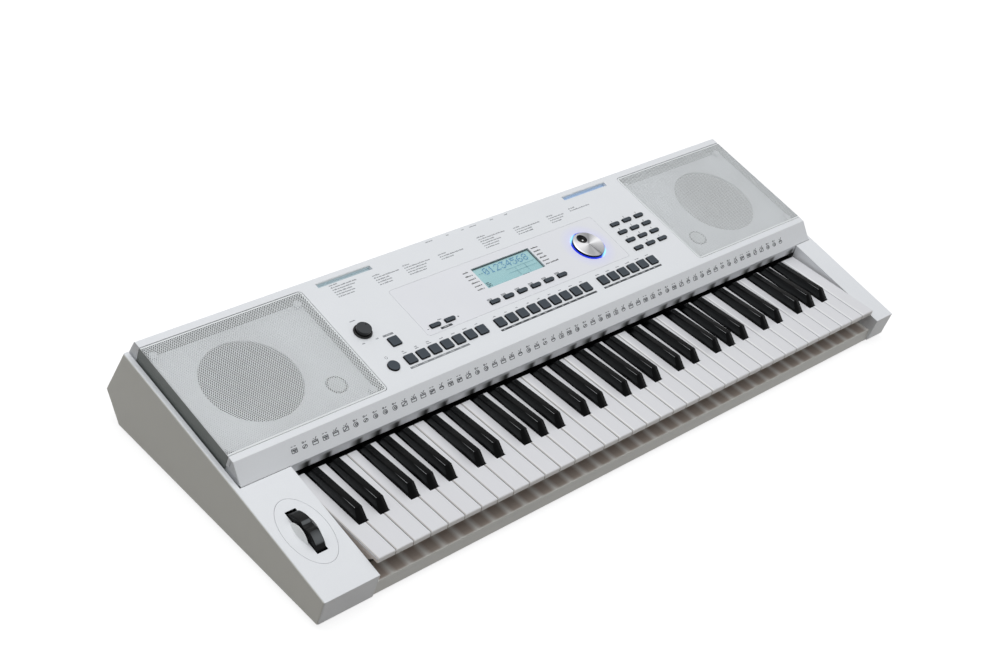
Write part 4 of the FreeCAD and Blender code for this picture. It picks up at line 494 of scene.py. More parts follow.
FINISHES = {
    "case_white": case_pearl(),
    "cheek_white": cheek_pearl(),
    "base_grey": base_pearl(),
    "grille_metal": painted("grille_paint", tone(233, 236, 237), 0.45),
    "speaker_metal": metal("speaker_steel", tone(90, 92, 94), 0.45, 0.002),
    # Loudspeaker cones, painted lighter on the right for the light that reaches them there
    "speaker_paper": painted_light_right(woven("cone_paper", tone(58, 58, 57), 0.8, 0.0012, 0.00006),
                                 tone(150, 150, 149)),
    "tweeter_black": tweeter_dome(),
    "panel_print": panel_satin(),
    "display_cell": display_cell(),
    "display_window": display_window(),
    "ring_light": ring_light(),
    "control_metal": metal("control_can", tone(170, 170, 168), 0.4, 0.001, (1, 1, 8)),
    "circuit_board": circuit_board(),
    "grey_rubber": moulded("mat_rubber", tone(120, 122, 124), 0.7, 0.0008, 0.00001),
    "socket_black": moulded("socket_plastic", tone(30, 30, 32), 0.45),
    "socket_steel": metal("socket_nickel", tone(190, 190, 186), 0.28, 0.0008),
    "frame_black": frame_sheet(),
    "felt_red": woven("stop_felt", tone(130, 28, 30), 0.95, 0.0006, 0.0002),
    "screw_steel": metal("screw_zinc", tone(180, 182, 186), 0.35, 0.0006),
    "foot_rubber": moulded("foot_rubber_black", tone(32, 32, 33), 0.75, 0.0006, 0.00002),
    "key_white": white_keys(),
    "key_black": black_keys(),
    "button_grey": button_caps(),
    "wheel_black": wheel_rubber(),
    "knob_grey": moulded("knob_charcoal", tone(62, 64, 67), 0.5, 0.0004, 0.000008, 0.03, 0.0003,
                         Specular_IOR_Level=0.2),
    "dial_silver": spun_metal(),
}
GLOSS_BLACK = moulded("gloss_black_plastic", tone(12, 12, 14), 0.14, 0.001, 0.000003, 0.05, 0.0002,
                      Specular_IOR_Level=0.25)
DIMPLE_BLACK = dimple_black()
HUMP_WHITE = painted("hump_white", tone(244, 246, 246), 0.4, 0.000005)
# The folded skirt and the rim's ends: the grille's sheet in a painted shade
SKIRT_PAINTED_SHADE = painted("skirt_grey", tone(122, 127, 125), 0.5)
# Painted shade for the dark walls of the speaker wells, painted lighter on the right
WELL_SHADE = painted_light_right(moulded("well_shade", tone(62, 65, 65), 0.6, 0.0006, 0.000004, 0.03, 0.0),
                         tone(150, 154, 154))
SLOT_TEAL = slot_liner("slot_liner_teal", tone(186, 203, 209), tone(236, 248, 252))
SLOT_BLUE = slot_liner("slot_liner_blue", tone(182, 206, 236), tone(235, 246, 255))
PRINT_GREY = ink("print_grey", tone(128, 131, 136))
PRINT_DARK = ink("print_dark", tone(58, 61, 66))
PRINT_BLACK = ink("print_black", tone(26, 28, 31))
PRINT_MID = ink("print_mid_grey", tone(132, 135, 139))
PRINT_PALE = ink("print_pale", tone(206, 208, 210), mottle=0.03)
SEGMENT_BLUE = ink("display_segment", tone(58, 128, 182), 0.5)
SEGMENT_FAINT = ink("display_faint_line", tone(112, 158, 172), 0.5, 0.03)
SEGMENT_DARK = ink("display_mark", tone(40, 70, 84), 0.5)
FRAME_SHADE = ink("display_frame_shade", tone(22, 40, 42), 0.5)

for row in frame["record"]["subparts"]:
    materials = frame["nodes"][row["node"]].data.materials
    materials.clear()
    materials.append(FINISHES[row["material_slot"]].material)


# Making meshes

def rounded_ring(left, front, right, back, radii, height, inset=0.0, steps=4):
    """A rectangle's outline with a radius for each corner: front right, back right, back left, front left."""
    corners = ((right, front, -1, 1), (right, back, -1, -1), (left, back, 1, -1), (left, front, 1, 1))
    points = []
    for turn, ((x, y, to_x, to_y), radius) in enumerate(zip(corners, radii)):
        radius = max(radius - inset, 0.05)
        for step in range(steps + 1):
            angle = math.pi / 2 * (turn - 1 + step / steps)
            points.append(Vector((x + to_x * (inset + radius) + radius * math.cos(angle),
                                  y + to_y * (inset + radius) + radius * math.sin(angle), height)))
    return points


def circle_ring(radius, height, steps=48, x=0.0, y=0.0):
    turns = [2 * math.pi * step / steps for step in range(steps)]
    return [Vector((x + radius * math.cos(turn), y + radius * math.sin(turn), height)) for turn in turns]


def loft(bm, rings, paints=None, loop=False):
    """Skin a row of rings, the lowest first; its ends are closed, or its last ring meets the first."""
    rows = [[bm.verts.new(point) for point in ring] for ring in rings]
    pairs = list(zip(rows, rows[1:]))
    if loop:
        pairs.append((rows[-1], rows[0]))
    for number, (low, high) in enumerate(pairs):
        for i in range(len(low)):
            j = (i + 1) % len(low)
            face = bm.faces.new((low[i], low[j], high[j], high[i]))
            face.material_index = paints[number] if paints else 0
    if not loop:
        bm.faces.new(rows[0][::-1]).material_index = paints[0] if paints else 0
        bm.faces.new(rows[-1]).material_index = paints[-1] if paints else 0


def add_plate(bm, left, front, right, back, low, high, paint=0):
    """A flat block, such as a printed bar."""
    ring = [(left, front), (right, front), (right, back), (left, back)]
    loft(bm, [[Vector((x, y, z)) for x, y in ring] for z in (low, high)], [paint])


def add_plate_on_side(bm, side, inner, front, outer, back, low, high, paint=0):
    """A flat block on the left or the right, given by how far it lies from the middle."""
    left, right = sorted((side * inner, side * outer))
    add_plate(bm, left, front, right, back, low, high, paint)


def smoothed(mesh, crease):
    mesh.shade_smooth()
    mesh.set_sharp_from_angle(angle=math.radians(crease))
    return mesh


def finished(bm, name, where, finishes, crease=35.0, mend=False):
    """The mesh of a piece, put in its place, with smooth shading up to an angle."""
    if mend:
        bmesh.ops.remove_doubles(bm, verts=bm.verts, dist=0.002)
        bmesh.ops.recalc_face_normals(bm, faces=bm.faces)
    mesh = bpy.data.meshes.new(name)
    bm.to_mesh(mesh)
    bm.free()
    mesh.transform(where)
    for finish in finishes:
        mesh.materials.append(finish.material)
    return smoothed(mesh, crease)


def evaluated_mesh(item):
    """A plain mesh of an object with its modifiers."""
    return bpy.data.meshes.new_from_object(item.evaluated_get(bpy.context.evaluated_depsgraph_get()))


def piece(name, mesh, body, stands_for=()):
    item = bpy.data.objects.new(name, mesh)
    scene.collection.objects.link(item)
    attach(item, body)
    if stands_for:
        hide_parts(*stands_for)


# Geometry Nodes

class Rule(Nodes):
    """A tree of Geometry Nodes with named inputs, which makes what repeats."""

    def __init__(self, name, sockets):
        super().__init__(bpy.data.node_groups.new(name, "GeometryNodeTree"))
        for label, kind in sockets.items():
            self.tree.interface.new_socket(label, in_out="INPUT", socket_type="NodeSocket" + kind)
        self.tree.interface.new_socket("Geometry", in_out="OUTPUT", socket_type="NodeSocketGeometry")
        self.given = self.add("NodeGroupInput").outputs

    def shape(self, source):
        """The mesh of an object that is given."""
        info = self.add("GeometryNodeObjectInfo", {"Object": source, "As Instance": False})
        return info.outputs["Geometry"]

    def vector(self, axis, value):
        return self.out("ShaderNodeCombineXYZ", {axis: value})

    def end(self, geometry, material):
        real = self.out("GeometryNodeRealizeInstances", {"Geometry": geometry})
        dressed = self.out("GeometryNodeSetMaterial", {"Geometry": real, "Material": material})
        self.add("NodeGroupOutput", {0: dressed})
        return self

    def grown(self, name, sizes):
        """A plain mesh of this tree's result for these sizes."""
        carrier = bpy.data.objects.new(name, bpy.data.meshes.new(name))
        scene.collection.objects.link(carrier)
        modifier = carrier.modifiers.new("rule", "NODES")
        modifier.node_group = self.tree
        for socket in self.tree.interface.items_tree:
            if socket.in_out == "INPUT":
                modifier[socket.identifier] = sizes[socket.name]
        mesh = evaluated_mesh(carrier)
        carrier.modifiers.remove(modifier)
        bpy.data.objects.remove(carrier)
        return mesh


def perforation_rule():
    """Flat cells with a hole each, set in staggered rows, joined into one sheet and given a thickness."""
    rule = Rule("perforated_sheet", {"Cell": "Object", "Pitch": "Float", "Columns": "Int", "Rows": "Int",
                                     "Gauge": "Float", "Metal": "Material"})
    given = rule.given
    row_pitch = rule.maths("MULTIPLY", given["Pitch"], math.sqrt(3) / 2)
    grid = rule.out("GeometryNodeMeshGrid", {
        "Size X": rule.maths("MULTIPLY", rule.maths("SUBTRACT", given["Columns"], 1.0), given["Pitch"]),
        "Size Y": rule.maths("MULTIPLY", rule.maths("SUBTRACT", given["Rows"], 1.0), row_pitch),
        "Vertices X": given["Columns"], "Vertices Y": given["Rows"]})
    line = rule.maths("MODULO", rule.out("GeometryNodeInputIndex"), given["Rows"])
    side = rule.maths("SUBTRACT", rule.maths("MODULO", line, 2.0), 0.5)
    step = rule.maths("MULTIPLY", rule.maths("MULTIPLY", side, 0.5), given["Pitch"])
    points = rule.out("GeometryNodeSetPosition", {"Geometry": grid, "Offset": rule.vector("X", step)})
    cells = rule.out("GeometryNodeInstanceOnPoints", {"Points": points,
                                                      "Instance": rule.shape(given["Cell"])})
    cells = rule.out("GeometryNodeRealizeInstances", {"Geometry": cells})
    sheet = rule.out("GeometryNodeMergeByDistance", {"Geometry": cells, "Distance": 0.002})
    raised = rule.out("GeometryNodeExtrudeMesh", {"Mesh": sheet, "Offset": rule.vector("Z", given["Gauge"]),
                                                  "Offset Scale": 1.0, "Individual": False})
    under = rule.out("GeometryNodeFlipFaces", {"Mesh": sheet})
    shell = rule.add("GeometryNodeJoinGeometry", {"Geometry": raised})
    rule.put(shell, {"Geometry": under})
    closed = rule.out("GeometryNodeMergeByDistance", {"Geometry": shell.outputs[0], "Distance": 0.002})
    return rule.end(closed, given["Metal"])


def rows_rule():
    """One cap repeated in columns and rows."""
    rule = Rule("button_rows", {"Cap": "Object", "Columns": "Int", "Rows": "Int", "Column pitch": "Float",
                                "Row pitch": "Float", "Plastic": "Material"})
    given = rule.given
    line = rule.out("GeometryNodeMeshLine", {"Count": given["Columns"],
                                             "Offset": rule.vector("X", given["Column pitch"])})
    column = rule.out("GeometryNodeMeshLine", {"Count": given["Rows"],
                                               "Offset": rule.vector("Y", given["Row pitch"])})
    spots = rule.out("GeometryNodeInstanceOnPoints", {"Points": line, "Instance": column})
    spots = rule.out("GeometryNodeRealizeInstances", {"Geometry": spots})
    caps = rule.out("GeometryNodeInstanceOnPoints", {"Points": spots, "Instance": rule.shape(given["Cap"])})
    return rule.end(caps, given["Plastic"])


def signs_rule():
    """Small signs in a line, each picked from a set."""
    rule = Rule("sign_line", {"Signs": "Collection", "Count": "Int", "Pitch": "Float", "Seed": "Int",
                              "Ink": "Material"})
    given = rule.given
    signs = rule.out("GeometryNodeCollectionInfo", {"Collection": given["Signs"], "Separate Children": True,
                                                    "Reset Children": True})
    line = rule.out("GeometryNodeMeshLine", {"Count": given["Count"],
                                             "Offset": rule.vector("X", given["Pitch"])})
    pick = rule.add("FunctionNodeRandomValue", {"Seed": given["Seed"]}, data_type="INT")
    low, high = [socket for socket in pick.inputs if socket.name in ("Min", "Max") and socket.type == "INT"]
    low.default_value, high.default_value = 0, 99
    chosen = [socket for socket in pick.outputs if socket.type == "INT"][0]
    placed = rule.out("GeometryNodeInstanceOnPoints", {"Points": line, "Instance": signs,
                                                       "Pick Instance": True, "Instance Index": chosen})
    return rule.end(placed, given["Ink"])


# Grilles

PITCH, HOLE_RADIUS, HOLE_SIDES, RIM_WIDTH, FOLD_WIDTH, SHEET_GAUGE = 2.3, 0.93, 6, 2.3, 0.25, 0.35
ROW_STEP = PITCH * math.sqrt(3) / 2
# Section of the rim, from its inner lip round to its top: how far in, how high, and the paint from there on;
# paint 1 is the skirt's painted shade, paint 2 the wells' painted shade
RIM = [(RIM_WIDTH, -0.01, 0), (1.0, -SHEET_GAUGE - 0.5, 2), (1.0, -RIM_DROP, 0), (0.0, -RIM_DROP, 1),
       (0.0, -1.0, 1), (0.07, -0.55, 0), (0.3, -0.22, 0), (0.65, -0.05, 0), (1.0, 0.0, 0)]
SKIRT = [(1.2, -SKIRT_DROP), (0.0, -SKIRT_DROP + 1.2), (0.0, -RIM_DROP + 0.5)]


def grille_cell():
    """One six-sided cell of the sheet with its hole."""
    bm = bmesh.new()
    corners = [math.radians(30 + 60 * number) for number in range(6)]
    outer = [bm.verts.new((PITCH / math.sqrt(3) * math.cos(turn), PITCH / math.sqrt(3) * math.sin(turn), 0.0))
             for turn in corners]
    hole = [bm.verts.new(point) for point in circle_ring(HOLE_RADIUS, 0.0, HOLE_SIDES)]
    edges = [bm.edges.new((ring[i - 1], ring[i])) for ring in (outer, hole) for i in range(len(ring))]
    bmesh.ops.triangle_fill(bm, use_beauty=True, edges=edges, normal=(0, 0, 1))
    for face in bm.faces:
        if face.normal.z < 0:
            face.normal_flip()
    mesh = bpy.data.meshes.new("grille_cell")
    bm.to_mesh(mesh)
    bm.free()
    return bpy.data.objects.new("grille_cell", mesh)


def grille_ring(side, inset, height):
    """Outline of a grille, drawn in by inset, and by less at the outer end where the sheet folds down."""
    fold = inset * FOLD_WIDTH / RIM_WIDTH - inset
    left, right = sorted((side * GRILLE_INNER, side * (DECK_END - fold)))
    outer_radius, inner_radius = (0.6,) * 2, (GRILLE_RADIUS,) * 2
    radii = inner_radius + outer_radius if side < 0 else outer_radius + inner_radius
    return rounded_ring(left, GRILLE_FRONT, right, GRILLE_BACK, radii, height, inset, 6)


def grille_halves(rule, cell, side):
    """The perforated sheet of one side in a front and a back half, each with an even start of its rows."""
    inner, outer = GRILLE_INNER + 1.3, DECK_END - 0.15
    columns = int((outer - inner - PITCH / 2) / PITCH) + 1
    rows = int((GRILLE_BACK - GRILLE_FRONT - 3.2) / ROW_STEP)
    middle = outer - (columns * PITCH + PITCH / 2) / 2
    line = (GRILLE_FRONT + GRILLE_BACK - rows * ROW_STEP) / 2
    front_rows = rows // 4 * 2
    halves = []
    for count in (front_rows, rows - front_rows):
        sheet = rule.grown("grille_half", {
            "Cell": cell, "Pitch": PITCH, "Columns": columns, "Rows": count, "Gauge": SHEET_GAUGE,
            "Metal": FINISHES["grille_metal"].material})
        sheet.transform(Matrix.Translation((side * middle, line + count * ROW_STEP / 2, -SHEET_GAUGE - 0.03)))
        line += count * ROW_STEP
        bm = bmesh.new()
        bm.from_mesh(sheet)
        for face in bm.faces:
            face.material_index = 0
        halves.append(bm)
    return halves


sheet_rule, cell = perforation_rule(), grille_cell()
GRILLE_FINISHES = [FINISHES["grille_metal"], SKIRT_PAINTED_SHADE, WELL_SHADE]
for hand, side in (("left", -1), ("right", 1)):
    front_half, back_half = grille_halves(sheet_rule, cell, side)
    mesh = finished(back_half, hand + "_grille_back", ON_DECK, [FINISHES["grille_metal"]], 40.0)
    piece(hand + "_grille_back", mesh, "case")
    loft(front_half, [grille_ring(side, inset, height) for inset, height, paint in RIM],
         [paint for inset, height, paint in RIM], True)
    low, high = sorted((side * (DECK_END - 0.05), side * (DECK_END - 0.9)))
    skirt = [rounded_ring(low, GRILLE_FRONT + inset, high, GRILLE_BACK - inset, (0.3,) * 4, height, 0.0, 2)
             for inset, height in SKIRT]
    # The skirt, in its painted shade
    loft(front_half, skirt, [1] * len(skirt))
    mesh = finished(front_half, hand + "_grille_sheet", ON_DECK, GRILLE_FINISHES, 40.0)
    piece(hand + "_grille_sheet", mesh, "case", (hand + "_grille",))
bpy.data.objects.remove(cell)

# Dark plates along the back and inner edges of the speaker wells: a painted shade
bm = bmesh.new()
for side in (-1, 1):
    inner = GRILLE_INNER + 1.2
    add_plate_on_side(bm, side, inner, GRILLE_FRONT + 2.0, inner + 3.8, GRILLE_BACK - 2.0, WELL_FLOOR, -9.7)
    add_plate_on_side(bm, side, inner, GRILLE_BACK - 9.0, DECK_END - 2.0, GRILLE_BACK - 1.2, WELL_FLOOR, -9.6)
piece("well_linings", finished(bm, "well_linings", ON_DECK, [WELL_SHADE]), "case")


# Buttons

def cap_profile(flat):
    """Sections of a button from its collar to its slightly hollow top: how far in, and how high."""
    return [(-FLANGE_REACH, FLANGE_BOTTOM), (-FLANGE_REACH, FLANGE_TOP), (0.0, FLANGE_TOP),
            (0.0, BUTTON_RISE - 0.7), (0.12, BUTTON_RISE - 0.32), (0.4, BUTTON_RISE - 0.08),
            (0.8, BUTTON_RISE), (1.15, BUTTON_RISE - 0.06), (flat, BUTTON_RISE - 0.18)]


def square_ring(inset, height):
    x, y = BUTTON_WIDTH / 2, BUTTON_DEPTH / 2
    return rounded_ring(-x, -y, x, y, (BUTTON_RADIUS,) * 4, height, inset)


def oval_ring(inset, height):
    """Round on the right, with small corners on the left."""
    x, y = OVAL_LENGTH / 2, OVAL_DEPTH / 2
    return rounded_ring(-x, -y, x, y, (y - 0.02, y - 0.02, 0.9, 0.9), height, inset, 5)


def power_ring(inset, height):
    return circle_ring(POWER_RADIUS - inset, height, 40)


SQUARE_FLAT, OVAL_FLAT = 2.6, 1.6
# Node, outline, start of the flat top, place of the first button, columns, rows and pitch
BUTTONS = [
    ("left_row_buttons", square_ring, SQUARE_FLAT, LEFT_ROW_X, ROW_V, 7, 1, ROW_PITCH),
    ("middle_row_buttons", square_ring, SQUARE_FLAT, MIDDLE_ROW_X, ROW_V, 9, 1, ROW_PITCH),
    ("right_row_buttons", square_ring, SQUARE_FLAT, RIGHT_ROW_X, ROW_V, 6, 1, ROW_PITCH),
    ("single_button", square_ring, SQUARE_FLAT, LEFT_ROW_X, SINGLE_V, 1, 1, ROW_PITCH),
    ("tempo_buttons", oval_ring, OVAL_FLAT, TEMPO_X, OVAL_V, 2, 1, OVAL_PITCH),
    ("display_buttons", oval_ring, OVAL_FLAT, DISPLAY_ROW_X, OVAL_V, 6, 1, OVAL_PITCH),
    ("keypad_buttons", oval_ring, OVAL_FLAT, KEYPAD_X, KEYPAD_V, 3, 4, OVAL_PITCH),
    ("power_button", power_ring, SQUARE_FLAT, POWER_X, ROW_V, 1, 1, ROW_PITCH),
]
button_rule = rows_rule()
for node, ring, flat, x, v, columns, rows, pitch in BUTTONS:
    bm = bmesh.new()
    loft(bm, [ring(inset, height) for inset, height in cap_profile(flat)])
    cap = bpy.data.objects.new(node + "_cap", finished(bm, node + "_cap", Matrix.Identity(4), []))
    mesh = button_rule.grown(node, {"Cap": cap, "Columns": columns, "Rows": rows, "Column pitch": pitch,
                                    "Row pitch": KEYPAD_ROW_PITCH,
                                    "Plastic": FINISHES["button_grey"].material})
    bpy.data.objects.remove(cap)
    mesh.transform(ON_DECK @ Matrix.Translation((x, v, 0)))
    piece(node + "_caps", mesh, node, (node,))


# Volume knob: radius and height from its shaft over the collar to the top, and the mark near its edge

KNOB = [(3.0, -8.2), (3.0, 0.1), (10.6, 0.1), (11.1, 0.4), (11.2, 1.0), (11.0, 1.7), (10.5, 2.1), (9.6, 2.25),
        (8.5, 2.2), (8.4, 2.5), (8.7, 2.8), (9.0, 3.2), (9.0, 6.8), (8.6, 7.2), (7.8, 7.2), (7.55, 6.95),
        (4.0, 6.9), (1.0, 6.88)]
KNOB_GLOSS, KNOB_STEPS = 12, 64
MARK, MARK_REACH, MARK_TURN, MARK_STEPS = [(0.8, 6.7), (0.8, 7.1), (0.6, 7.15)], 6.2, math.radians(34), 16
bm = bmesh.new()
paints = [1 if number < KNOB_GLOSS else 0 for number in range(len(KNOB) - 1)]
loft(bm, [circle_ring(radius, height, KNOB_STEPS) for radius, height in KNOB], paints)
mark_x, mark_y = MARK_REACH * math.cos(MARK_TURN), MARK_REACH * math.sin(MARK_TURN)
loft(bm, [circle_ring(radius, height, MARK_STEPS, mark_x, mark_y) for radius, height in MARK], [1, 1])
mesh = finished(bm, "volume_knob_cap", ON_DECK @ Matrix.Translation((POWER_X, KNOB_V, 0)),
                [FINISHES["knob_grey"], GLOSS_BLACK])
piece("volume_knob_cap", mesh, "volume_knob", ("volume_knob",))


# Data dial

DIAL_PAINTS = [FINISHES["dial_silver"], GLOSS_BLACK, DIMPLE_BLACK]
DIAL_EDGE = [(3.0, -8.2), (3.0, 0.5), (20.3, 0.5), (20.8, 0.7), (DIAL_RADIUS, 1.1), (DIAL_RADIUS, 2.6),
             (20.9, 2.9), (20.6, 3.2), (20.2, 3.42), (19.7, 3.55)]
DIAL_RINGS, DIAL_DARK, DIAL_STEPS, DIAL_CREASE = (19.2, 15.0, 12.0, 9.0, 6.0, 3.0, 1.0, 0.2), 6, 96, 30.0
DIMPLE, DIMPLE_RADIUS, DIMPLE_DEPTH = Vector((-3.0, 10.5, DIAL_TOP)), 7.2, 2.1


def turned_dial():
    """The dial as a lathe leaves it, with a map that runs round it and out from its middle."""
    profile = DIAL_EDGE + [(radius, DIAL_TOP) for radius in DIAL_RINGS]
    paints = [1 if number < DIAL_DARK else 0 for number in range(len(profile) - 1)]
    bm = bmesh.new()
    loft(bm, [circle_ring(radius, height, DIAL_STEPS) for radius, height in profile], paints)
    layer = bm.loops.layers.uv.new("turning")
    for face in bm.faces:
        middle = face.calc_center_median()
        around = math.atan2(middle.y, middle.x)
        for corner in face.loops:
            x, y = corner.vert.co.xy
            turn = math.atan2(y, x)
            turn += 2 * math.pi * round((around - turn) / (2 * math.pi))
            corner[layer].uv = (turn / (2 * math.pi), math.hypot(x, y) / DIAL_RADIUS)
    return finished(bm, "data_dial_turned", Matrix.Identity(4), DIAL_PAINTS, DIAL_CREASE)


def dimple_cutter():
    """The ball that hollows the finger dimple out of the dial."""
    radius = (DIMPLE_RADIUS ** 2 + DIMPLE_DEPTH ** 2) / (2 * DIMPLE_DEPTH)
    bm = bmesh.new()
    place = Matrix.Translation(DIMPLE + Vector((0, 0, radius - DIMPLE_DEPTH)))
    bmesh.ops.create_uvsphere(bm, u_segments=72, v_segments=48, radius=radius, matrix=place)
    for face in bm.faces:
        face.material_index = 2
    return finished(bm, "dimple_ball", Matrix.Identity(4), DIAL_PAINTS, 60.0)


dial = bpy.data.objects.new("data_dial_blank", turned_dial())
ball = bpy.data.objects.new("dimple_ball", dimple_cutter())
for item in (dial, ball):
    scene.collection.objects.link(item)
cut = dial.modifiers.new("dimple", "BOOLEAN")
cut.object, cut.operation, cut.solver = ball, "DIFFERENCE", "EXACT"
mesh = evaluated_mesh(dial)
for item in (dial, ball):
    bpy.data.objects.remove(item)
mesh.transform(ON_DECK @ Matrix.Translation((DIAL_X, DIAL_V, 0)))
piece("data_dial_spun", smoothed(mesh, DIAL_CREASE), "data_dial", ("data_dial",))


# Pitch wheel

CREST_HALF, VALLEY_DEPTH, TYRE_HALF, TYRE_LIMIT, TYRE_STEPS = 7.2, 2.7, 6.2, 30.2, 168
BOW_RADIUS, BOW_DROP, BOW_END, BOW_FADE = 38.0, 10.0, math.radians(66), math.radians(14)
# Left half of the wheel: how far from its middle, and how far below the tyre, or a radius of the hub
WHEEL_STATIONS = [(-12.6, None, 3.0), (-7.9, None, 3.0), (-7.9, None, 6.8), (-5.9, None, 6.8),
                  (-5.9, 3.0, None), (-TYRE_HALF, 2.6, None), (-TYRE_HALF, 1.0, None), (-6.05, 0.45, None),
                  (-5.7, 0.12, None), (-5.1, 0.0, None)]
ON_WHEEL_PLATE = ON_CHEEK @ Matrix.Translation((WHEEL_X, WHEEL_REACH, 0))


def wheel_radius(turn):
    """The wheel's radius at an angle from its top: flat bows with a thumb valley between two crests."""
    bow = math.sqrt(BOW_RADIUS ** 2 - (BOW_DROP * math.sin(turn)) ** 2) - BOW_DROP * math.cos(turn)
    bow = min(bow, TYRE_LIMIT)
    past = min(1.0, max(0.0, (abs(turn) - BOW_END) / BOW_FADE))
    bow += (WHEEL_RADIUS - 0.2 - bow) * past
    reach = abs(WHEEL_RADIUS * turn) / CREST_HALF
    if reach < 1.0:
        return bow - VALLEY_DEPTH * (0.5 + 0.5 * math.cos(math.pi * reach ** 1.6))
    return bow


def wheel_ring(x, inset, hub):
    points = []
    for step in range(TYRE_STEPS):
        turn = 2 * math.pi * step / TYRE_STEPS - math.pi
        radius = hub if hub else wheel_radius(turn) - inset
        points.append(Vector((x, radius * math.sin(turn), radius * math.cos(turn))))
    return points


right_stations = [(-x, inset, hub) for x, inset, hub in WHEEL_STATIONS[::-1]]
bm = bmesh.new()
loft(bm, [wheel_ring(*station) for station in WHEEL_STATIONS + right_stations])
mesh = finished(bm, "pitch_wheel_tyre", ON_WHEEL_PLATE @ Matrix.Translation((0, 0, WHEEL_AXLE)),
                [FINISHES["wheel_black"]], 32.0, mend=True)
piece("pitch_wheel_tyre", mesh, "pitch_wheel", ("pitch_wheel",))

HUMP_RADIUS, HUMP_MIDDLE, HUMP_EDGE, HUMP_BALL = 19.2, -10.9, 9.1, 41.6
HUMP_FOOT, HUMP_END, HUMP_STEPS = -0.6, -0.3, 14


def hump_section(side, turn):
    """Section across a hump beside the wheel, at an angle round it: flat inside and domed outside."""
    along = HUMP_RADIUS * math.sin(turn)
    top = HUMP_MIDDLE + HUMP_RADIUS * math.cos(turn)
    inside, steps = HUMP_EDGE - 0.5, 6
    points = [(inside, HUMP_FOOT), (inside, top - 0.05)]
    for step in range(steps + 1):
        height = top + (HUMP_FOOT - top) * step / steps
        reach = math.hypot(along, height - HUMP_MIDDLE)
        points.append((HUMP_EDGE + (HUMP_RADIUS ** 2 - reach ** 2) / (2 * HUMP_BALL), height))
    return [Vector((side * x, along, height)) for x, height in points]


bm = bmesh.new()
limit = math.acos((HUMP_END - HUMP_MIDDLE) / HUMP_RADIUS)
for side in (-1, 1):
    loft(bm, [hump_section(side, limit * (step / HUMP_STEPS - 1)) for step in range(2 * HUMP_STEPS + 1)])
mesh = finished(bm, "wheel_plate_humps", ON_WHEEL_PLATE, [HUMP_WHITE], 40.0, mend=True)
piece("wheel_plate_humps", mesh, "case")

LINER_GAUGE, LINER_FOOT, LINER_TOP = 0.2, -5.0, 0.04
bm = bmesh.new()
half_width, half_length = WHEEL_SLOT_WIDTH / 2, WHEEL_SLOT_LENGTH / 2
for side in (-1, 1):
    add_plate_on_side(bm, side, half_width, -half_length, half_width - LINER_GAUGE, half_length,
                      LINER_FOOT, LINER_TOP)
    front, back = sorted((side * half_length, side * (half_length - LINER_GAUGE)))
    add_plate(bm, -half_width, front, half_width, back, LINER_FOOT, LINER_TOP)
mesh = finished(bm, "wheel_slot_liner", ON_WHEEL_PLATE, [GLOSS_BLACK])
piece("wheel_slot_liner", mesh, "case")


# Print on the deck and the display panel

PRINT_LOW, PRINT_HIGH, PALE_RISE = -0.06, 0.05, 0.03
LETTER_WIDTHS, LETTER_HEIGHTS = (0.42, 0.5, 0.5, 0.58, 0.68), (0.72, 0.72, 0.72, 1.0)
LETTER_GAP, WORD_GAP, MEAN_LETTER = 0.2, 0.35, 0.75
draw = random.Random(7)


def print_bar(bm, left, front, right, back, paint=0, rise=0.0):
    add_plate(bm, left, front, right, back, PRINT_LOW, PRINT_HIGH + rise, paint)


def print_word(bm, x, v, letters, height, paint=0):
    """A row of small bars that reads as a word from afar; it says nothing. Gives the place where it ends."""
    for number in range(letters):
        width = height * draw.choice(LETTER_WIDTHS)
        tall = height * draw.choice(LETTER_HEIGHTS)
        print_bar(bm, x, v, x + width, v + tall, paint)
        x += width + height * LETTER_GAP
    return x + height * WORD_GAP


def print_line(bm, x, v, words, height, paint=0):
    for letters in words:
        x = print_word(bm, x, v, letters, height, paint)
    return x


def line_length(words, height):
    return sum(letters * height * MEAN_LETTER + height * WORD_GAP for letters in words)


# Lists along the back of the deck: place, lines and width
LISTS = [(-226.0, 155.0, 6, 39.0), (-168.0, 147.5, 5, 36.0), (-123.0, 146.5, 5, 42.0),
         (-69.5, 144.0, 3, 41.0), (-2.6, 148.5, 6, 44.0), (55.0, 143.5, 4, 43.0), (112.5, 142.5, 4, 31.0),
         (152.0, 142.5, 2, 36.0)]
LIST_PITCH, LIST_LETTER = 3.7, 1.8
BACK_LABELS = [(-70.0, (4, 2, 3)), (-36.5, (3,)), (-12.0, (4,)), (1.6, (5, 5)), (36.0, (5,)), (60.5, (5,))]
BACK_V, BACK_LETTER = 167.4, 1.6
# Labels of the square buttons: first place, how many, least letters, and how many have a second line
SQUARE_LABELS = [(LEFT_ROW_X, 7, 4, 3), (MIDDLE_ROW_X, 9, 3, 0), (RIGHT_ROW_X, 6, 5, 0)]
SQUARE_LABEL_V, SQUARE_LETTER = 35.6, 1.5
KNOB_LABELS = [(-238.5, 99.6, 6), (-227.0, 66.2, 3), (-246.0, 66.4, 3), (-140.5, 59.6, 5)]
KNOB_LETTER = 1.7

